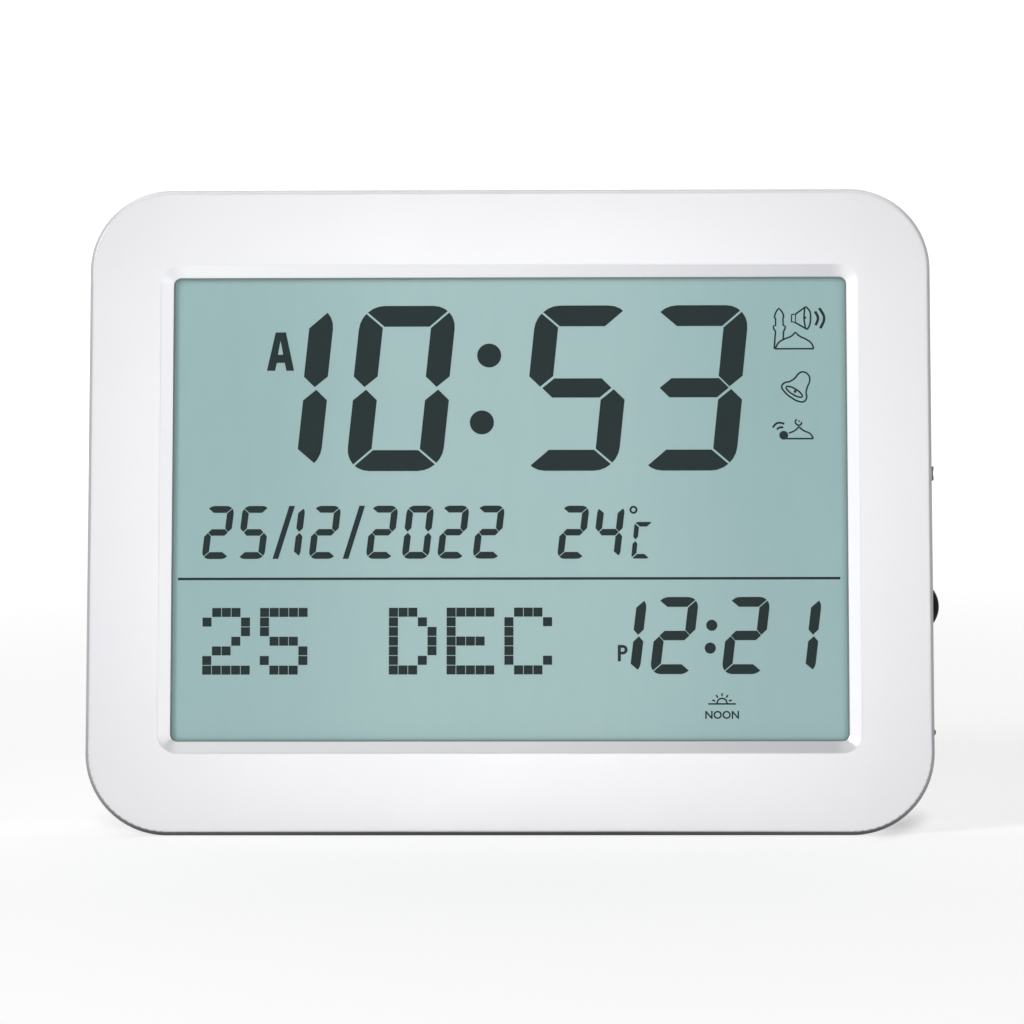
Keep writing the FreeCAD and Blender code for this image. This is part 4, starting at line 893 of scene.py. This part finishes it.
for number, text in enumerate(KEY_NAMES):
    across = (number - (len(KEY_NAMES) - 1) / 2) * KEY_PITCH
    back_words(f"key_lettering_{number + 1}", text, KEY_WORD_HEIGHT, across,
               KEY_ROW_UP - KEY_WORD_DROP)
back_words("volume_lettering", "VOL", SIDE_WORD_HEIGHT, 108, WHEEL_UP)
back_words("switch_on_lettering", "ON", SIDE_WORD_HEIGHT, 109, 109.5)
back_words("switch_off_lettering", "OFF", SIDE_WORD_HEIGHT, 109, 103.5)


# ---- Setting keys ------------------------------------------------------------
# Six round rubber keys in a row, moulded one by one. Each is pressed on the stem of a small
# switch, and the six switches are soldered to a board of their own.

key_rubber = plastic("key_rubber", (128, 131, 134), (120, 123, 127), grain=0.3, contrast=0.08,
                     rough=0.6, rubbed=0.15, bump=0.01)
switch_black = plastic("switch_black", (30, 30, 32), (38, 38, 40), grain=0.3, contrast=0.1,
                       rough=0.45, bump=0.004)
for key in ("mode", "set", "down", "up", "alarm", "azan"):
    dress(key_rubber, f"{key}_button")
    dress(switch_black, f"{key}_plunger")
dress(switch_black, "tact_switches")


# ---- Leg ---------------------------------------------------------------------
# A plate moulded in white ABS that folds out of the rear cover on a steel pin. A rubber foot
# is glued to its end.

leg_abs = plastic("leg_abs", (236, 236, 237), (230, 230, 232), grain=0.5, contrast=0.03,
                  rough=0.46, rubbed=0.08, bump=0.02)
blended("stand_leg", leg_abs, "leg")
dress(plastic("foot_rubber", (40, 40, 42), (50, 50, 52), grain=0.4, contrast=0.3,
              rough=0.8, bump=0.03), "foot_pad")


# ---- Batteries and contacts --------------------------------------------------
# Three AA cells side by side in their tray, every second one turned round. Nickel-plated
# contacts and coils press on their ends, and a moulded door closes the tray.

CELL_UPS = (71.3 - 15.4, 71.3, 71.3 + 15.4)
CELL_DEPTH, CELL_RADIUS, CELL_LENGTH, NIPPLE = 20.3, 7.1, 49.3, 1.2
BAND_START = 36
TRAY_LENGTH, TRAY_MIDDLE = 56.8, -69.1
CONTACT_ROOM = 0.55
SPRING_WIRE, SPRING_RADIUS, SPRING_TAPER, SPRING_LENGTH, SPRING_TURNS = 0.35, 4.6, 1.1, 5.2, 3.0


def cell_jacket():
    """A printed steel jacket: dark body, a copper band at the plus end, bare metal ends."""
    made, tree, shader = new_material("cell_jacket", coat_weight=0.3, coat_roughness=0.15)
    zone = node(tree, "ShaderNodeAttribute", attribute_name="zone").outputs["Fac"]
    colour = ramp(tree, zone, ((0, (34, 36, 42)), (0.4, (186, 122, 70)), (0.8, (205, 205, 203))),
                  "CONSTANT")
    scuffs = noise(tree, object_place(tree), 400.0, 4.0)
    feed(tree, shader.inputs,
         {"Base Color": colour, "Metallic": calc(tree, "GREATER_THAN", zone, 0.3),
          "Roughness": spread(tree, scuffs, 0.0, 1.0, 0.2, 0.42)})
    return made


def cell_mesh():
    """A cell standing on its flat end, with rolled shoulders, and a zone for each finish."""
    r, length = CELL_RADIUS, CELL_LENGTH
    profile = [(0, 0), (4.6, 0), (5.0, 0.25), (6.1, 0.25), (6.6, 0.1), (r - 0.1, 0.35), (r, 0.9),
               (r, BAND_START), (r, BAND_START + 0.01), (r, length - 0.8),
               (r - 0.35, length - 0.1), (6.2, length), (5.9, length - 0.35),
               (3.4, length - 0.35), (2.75, length), (2.75, length + 0.9),
               (2.45, length + NIPPLE), (0, length + NIPPLE)]
    mesh = lathe(profile, 48)
    zone = mesh.attributes.new("zone", "FLOAT", "FACE")
    for face in mesh.polygons:
        centre = face.center
        radius = math.hypot(centre.x, centre.y)
        bare = radius < 6 or centre.z < 0.3 or centre.z > length - 0.05
        zone.data[face.index].value = 1.0 if bare else 0.5 if centre.z > BAND_START else 0.0
    return mesh


def lay_down(mesh, number, from_spring_end):
    """Lay a standing piece in a cell's place; every second place is turned round."""
    way = -1 if number % 2 else 1
    spring_end = TRAY_MIDDLE - way * (TRAY_LENGTH / 2 - CONTACT_ROOM)
    mesh.transform(Matrix.Translation((spring_end + way * from_spring_end, CELL_UPS[number], 0))
                   @ Matrix.Rotation(way * math.pi / 2, 4, "Y"))
    return mesh


jacket = cell_jacket()
for number in range(len(CELL_UPS)):
    mesh = lay_down(cell_mesh(), number, SPRING_LENGTH)
    show(f"cell_{number + 1}", on_face(mesh, CELL_DEPTH), jacket,
         replaces=(f"battery_{number + 1}",))
nickel = plastic("nickel", (206, 203, 194), (190, 187, 178), grain=0.25, contrast=0.1,
                 rough=0.25, rubbed=0.2, bump=0.002, metallic=1.0)
dress(nickel, "battery_contacts")


def coil_tree():
    """A wire coil along Z that narrows evenly."""
    tree, given, out = mesh_tree("wire_coil", {
        "Turns": "Float", "Wide Radius": "Float", "Narrow Radius": "Float", "Length": "Float",
        "Wire Radius": "Float"})
    path = node(tree, "GeometryNodeCurveSpiral",
                {"Resolution": 32, "Rotations": given["Turns"],
                 "Start Radius": given["Wide Radius"], "End Radius": given["Narrow Radius"],
                 "Height": given["Length"]})
    round_wire = node(tree, "GeometryNodeCurvePrimitiveCircle",
                      {"Resolution": 12, "Radius": given["Wire Radius"]})
    coil = node(tree, "GeometryNodeCurveToMesh",
                {"Curve": path.outputs[0], "Profile Curve": round_wire.outputs[0],
                 "Fill Caps": True})
    return finish_tree(tree, coil.outputs[0], given, out)


coil = apply_tree(points_mesh([(0, 0, 0)]), coil_tree(),
                  {"Turns": SPRING_TURNS, "Wide Radius": SPRING_RADIUS,
                   "Narrow Radius": SPRING_RADIUS - SPRING_TAPER,
                   "Length": SPRING_LENGTH - 2 * SPRING_WIRE, "Wire Radius": SPRING_WIRE,
                   "Material": nickel})
coils = bmesh.new()
for number in range(len(CELL_UPS)):
    coils.from_mesh(lay_down(coil.copy(), number, SPRING_WIRE))
bmesh.ops.recalc_face_normals(coils, faces=coils.faces)
show("contact_coils", on_face(smooth_mesh(coils), CELL_DEPTH), nickel,
     replaces=("battery_springs",))

blended("battery_door", rear_abs, "door")
arrow = flat_plates([[(-4, 0), (0, 4), (4, 0), (1.6, 0), (1.6, -4), (-1.6, -4), (-1.6, 0)]],
                    LETTER_RISE)
arrow.transform(Matrix.Translation((-TRAY_MIDDLE, 80, 0)))
show("door_arrow", on_back(arrow), letter_ink, "door")


# ---- Loudspeaker -------------------------------------------------------------
# A 50 mm loudspeaker behind the grille, for the spoken call: pressed steel basket, ferrite
# magnet, and a paper cone with a rolled edge and a domed dust cap.

dress(steel, "speaker_basket")
dress(plastic("ferrite", (52, 52, 54), (62, 62, 64), grain=0.6, contrast=0.2, rough=0.6,
              bump=0.02), "speaker_magnet")
SPEAKER_ACROSS, SPEAKER_UP = 68, 72
CAP_RADIUS, CONE_EDGE, SURROUND_EDGE = 7.5, 18.4, 21.9
CAP_TOP, CONE_NECK, CONE_MOUTH, SURROUND_TOP = 23.1, 21.6, 26.0, 26.95
PAPER, RING_RISE = 0.4, 0.18


def paper_cone():
    """The cone seen from the back: domed cap, three pressed rings, and a rolled edge."""
    profile = [(CAP_RADIUS * math.sin(turn), CONE_NECK + (CAP_TOP - CONE_NECK) * math.cos(turn))
               for turn in (0, 0.25, 0.5, 0.75, 1.0, 1.25, 1.5)]
    steps = 24
    for step in range(steps + 1):
        share = step / steps
        ring = RING_RISE * max(0, math.cos(2 * math.pi * share * 3)) if 0 < share < 1 else 0
        profile.append((CAP_RADIUS + 0.2 + share * (CONE_EDGE - CAP_RADIUS - 0.2),
                        CONE_NECK + share * (CONE_MOUTH - CONE_NECK) + ring))
    half = (SURROUND_EDGE - CONE_EDGE) / 2
    for step in range(1, 9):
        turn = math.pi * (1 - step / 8)
        profile.append((CONE_EDGE + half + half * math.cos(turn),
                        CONE_MOUTH + (SURROUND_TOP - CONE_MOUTH) * math.sin(turn)))
    profile += [(SURROUND_EDGE, CONE_MOUTH - PAPER), (CONE_EDGE, CONE_MOUTH - PAPER),
                (CAP_RADIUS, CONE_NECK - PAPER), (0, CONE_NECK - PAPER)]
    mesh = lathe([(radius, -depth) for radius, depth in profile], 72)
    mesh.transform(Matrix.Translation((SPEAKER_ACROSS, SPEAKER_UP, 0)))
    return mesh


cone_paper = plastic("cone_paper", (44, 42, 42), (54, 52, 50), grain=0.35, contrast=0.4,
                     rough=0.85, bump=0.03)
show("pressed_cone", on_face(paper_cone(), 0), cone_paper,
     replaces=("speaker_cone",))


# ---- Case screws -------------------------------------------------------------
# Eight zinc-plated pan-head screws hold the two halves of the case together. Each sits at the
# bottom of a well in the rear cover and cuts its own thread in a boss of the front bezel.

SCREW_PLACES = [(side * across, FACE_MIDDLE + end * up, 0)
                for across, up in ((107.5, 76.1), (42, 80.1))
                for side in (-1, 1) for end in (-1, 1)]
HEAD_RADIUS, HEAD_HEIGHT, SEAT_DEPTH = 2.8, 2.0, 16.0
SHANK_RADIUS, SHANK_LENGTH, THREAD_PITCH, THREAD_DEPTH = 1.45, 10.5, 1.05, 0.28
RECESS_LONG, RECESS_WIDE, RECESS_DEPTH, RECESS_TAPER = 3.4, 0.8, 1.1, 0.55


def screw_mesh():
    """A pan head with a cross recess, on a threaded shank that comes to a point."""
    back = SEAT_DEPTH + HEAD_HEIGHT
    profile = [(0, back), (1.4, back - 0.05), (2.2, back - 0.25), (2.65, back - 0.7),
               (HEAD_RADIUS, back - 1.3), (HEAD_RADIUS, SEAT_DEPTH), (SHANK_RADIUS, SEAT_DEPTH)]
    threads = int((SHANK_LENGTH - 1.6) / THREAD_PITCH)
    for thread in range(threads):
        top = SEAT_DEPTH - 0.4 - thread * THREAD_PITCH
        profile += [(SHANK_RADIUS - THREAD_DEPTH, top), (SHANK_RADIUS - THREAD_DEPTH, top - 0.55),
                    (SHANK_RADIUS, top - 0.8)]
    profile += [(SHANK_RADIUS - THREAD_DEPTH, SEAT_DEPTH - SHANK_LENGTH + 1.0),
                (0, SEAT_DEPTH - SHANK_LENGTH)]
    body = lathe([(radius, -depth) for radius, depth in profile], 24)
    long_half, wide_half = RECESS_LONG / 2, RECESS_WIDE / 2
    cross = [(-wide_half, -long_half), (wide_half, -long_half), (wide_half, -wide_half),
             (long_half, -wide_half), (long_half, wide_half), (wide_half, wide_half),
             (wide_half, long_half), (-wide_half, long_half), (-wide_half, wide_half),
             (-long_half, wide_half), (-long_half, -wide_half), (-wide_half, -wide_half)]
    driver = flat_plates([cross], 2 * RECESS_DEPTH)
    for vertex in driver.vertices:
        if vertex.co.z > 0:
            vertex.co.x *= RECESS_TAPER
            vertex.co.y *= RECESS_TAPER
    driver.transform(Matrix.Translation((0, 0, -back)))
    tool = in_scene("driver", driver)
    carved = plain_mesh(body, "BOOLEAN", operation="DIFFERENCE", object=tool)
    bpy.data.objects.remove(tool)
    return carved


def repeat_tree():
    """One object placed on every point."""
    tree, given, out = mesh_tree("placed_on_points", {"Object": "Object"})
    original = node(tree, "GeometryNodeObjectInfo", {"Object": given["Object"]})
    return finish_tree(tree, on_points(tree, given, original.outputs["Geometry"]), given, out)


one_screw = in_scene("one_screw", screw_mesh())
screw_set = apply_tree(points_mesh(SCREW_PLACES), repeat_tree(),
                       {"Object": one_screw, "Material": steel})
bpy.data.objects.remove(one_screw)
show("cross_head_screws", on_face(screw_set, 0), steel,
     replaces=("case_screws",))


# ---- Studio ------------------------------------------------------------------
# A sheet of white paper that runs from the floor up into a wall, six soft lamps, and the camera
# in front of the clock. None of it belongs to the clock.

PAPER_SHADE = 0.45
FLOOR_GLOW, FLOOR_END = 0.655, 0.2
WALL_GLOW, WALL_START = 0.98, 1.3
FOOTPRINT_BACK, FOOTPRINT_REACH, CLEAR_REACH = 0.09, 0.12, 0.2
# Place, turn and reach of the painted shadows beside the front corners.
CONTACT_ACROSS, CONTACT_BACK, CONTACT_TURN, CONTACT_REACH = 0.114, 0.006, 15.6, 0.0085


def studio_white():
    """White paper lit from behind, but not under the clock. Its diffuse part takes the clock's
    shadow, and painted shadows dim its glow beside the two round front corners, where the case
    comes down to it."""
    made = bpy.data.materials.new("studio_white")
    made.use_nodes = True
    tree = made.node_tree
    tree.nodes.clear()
    paper = node(tree, "ShaderNodeBsdfDiffuse",
                 {"Color": (PAPER_SHADE, PAPER_SHADE, PAPER_SHADE, 1)})
    place = object_place(tree)
    back = spread(tree, vector_calc(tree, "LENGTH", place), FLOOR_END, WALL_START, FLOOR_GLOW,
                  WALL_GLOW, soft=True)
    footprint = node(tree, "ShaderNodeMapping",
                     {"Vector": place, "Location": (0, -FOOTPRINT_BACK, 0), "Scale": (1, 4, 1)})
    clear = spread(tree, vector_calc(tree, "LENGTH", footprint.outputs[0]), FOOTPRINT_REACH,
                   CLEAR_REACH)
    path = node(tree, "ShaderNodeLightPath")
    shown = calc(tree, "MAXIMUM", path.outputs["Is Camera Ray"], clear)
    glow = calc(tree, "MULTIPLY", shown, back)
    # Painted shadow: the glow is dimmed in a narrow patch beside each front corner, deeper on the
    # right.
    for side, shade in ((1, 0.6), (-1, 0.88)):
        beside = node(tree, "ShaderNodeMapping",
                      {"Vector": place, "Location": (side * CONTACT_ACROSS, CONTACT_BACK, 0),
                       "Rotation": (0, 0, -side * math.radians(CONTACT_TURN)),
                       "Scale": (1, 4, 1)}, vector_type="TEXTURE")
        painted_shadow = spread(tree, vector_calc(tree, "LENGTH", beside.outputs[0]), 0.0,
                         CONTACT_REACH, shade, 1.0, soft=True)
        glow = calc(tree, "MULTIPLY", glow, painted_shadow)
    light = node(tree, "ShaderNodeEmission", {"Color": (1, 1, 1, 1), "Strength": glow})
    both = node(tree, "ShaderNodeAddShader", {0: paper.outputs[0], 1: light.outputs[0]})
    node(tree, "ShaderNodeOutputMaterial", {"Surface": both.outputs[0]})
    return made


def floor_and_wall():
    """A wide sheet: flat floor, a large curve behind the clock, and an upright wall."""
    half_width, front, bend_start, bend, top = 4.0, -3.0, 1.6, 1.2, 4.0
    profile = [(front, 0), (bend_start, 0)]
    for step in range(1, 25):
        turn = math.pi / 2 * step / 24
        profile.append((bend_start + bend * math.sin(turn), bend * (1 - math.cos(turn))))
    profile.append((bend_start + bend, top))
    points = [(side * half_width, y, z) for y, z in profile for side in (-1, 1)]
    faces = [(2 * row, 2 * row + 1, 2 * row + 3, 2 * row + 2) for row in range(len(profile) - 1)]
    mesh = bpy.data.meshes.new("studio_sheet")
    mesh.from_pydata(points, [], faces)
    for face in mesh.polygons:
        face.use_smooth = True
    mesh.materials.append(studio_white())
    in_scene("studio_sheet", mesh)


floor_and_wall()


CLOCK_MIDDLE = Vector((0, 0.005, 0.092))


def direction(azimuth, elevation):
    """The way from the clock to a lamp or the camera, from angles in degrees."""
    azimuth, elevation = math.radians(azimuth), math.radians(elevation)
    return Vector((math.sin(azimuth) * math.cos(elevation),
                   -math.cos(azimuth) * math.cos(elevation), math.sin(elevation)))


def lamp(name, power, side, azimuth, elevation, distance):
    """A square softbox that faces the clock."""
    towards = direction(azimuth, elevation)
    light = bpy.data.lights.new(name, "AREA")
    light.energy, light.size = power, side
    made = in_scene(name, light)
    made.matrix_world = (Matrix.Translation(CLOCK_MIDDLE + towards * distance)
                         @ towards.to_track_quat("Z", "Y").to_matrix().to_4x4())
    made.visible_camera = False


lamp("left_softbox", power=3.8, side=0.7, azimuth=-50, elevation=5, distance=1.9)
lamp("high_left_softbox", power=16.0, side=0.5, azimuth=-60, elevation=35, distance=1.9)
lamp("right_softbox", power=10.5, side=1.3, azimuth=50, elevation=5, distance=1.9)
lamp("high_right_softbox", power=2.9, side=0.5, azimuth=60, elevation=35, distance=1.9)
lamp("front_softbox", power=3.1, side=0.4, azimuth=-1, elevation=18, distance=1.9)
lamp("top_softbox", power=2.0, side=0.9, azimuth=0, elevation=80, distance=1.7)

world = bpy.data.worlds.new("studio_air")
world.use_nodes = True
bpy.context.scene.world = world
air = world.node_tree.nodes["Background"]
path = node(world.node_tree, "ShaderNodeLightPath")
world.node_tree.links.new(path.outputs["Is Camera Ray"], air.inputs["Strength"])
air.inputs["Color"].default_value = (1, 1, 1, 1)

AIM = Vector((0.00075, 0.00636, 0.09165))
YAW, ELEVATION, DISTANCE = 0.961, 5.619, 1.2699
ROLL = math.radians(-0.184)
towards = direction(YAW, ELEVATION)
right = Vector((0, 0, 1)).cross(towards).normalized()
up = towards.cross(right)
rolled_right = right * math.cos(ROLL) + up * math.sin(ROLL)
rolled_up = up * math.cos(ROLL) - right * math.sin(ROLL)
lens = bpy.data.cameras.new("camera")
lens.lens, lens.sensor_width = 154.07, 36
camera = in_scene("camera", lens)
camera.matrix_world = (Matrix.Translation(AIM + towards * DISTANCE)
                       @ Matrix((rolled_right, rolled_up, towards)).transposed().to_4x4())
bpy.context.scene.camera = camera
bpy.context.scene.view_settings.view_transform = "Standard"
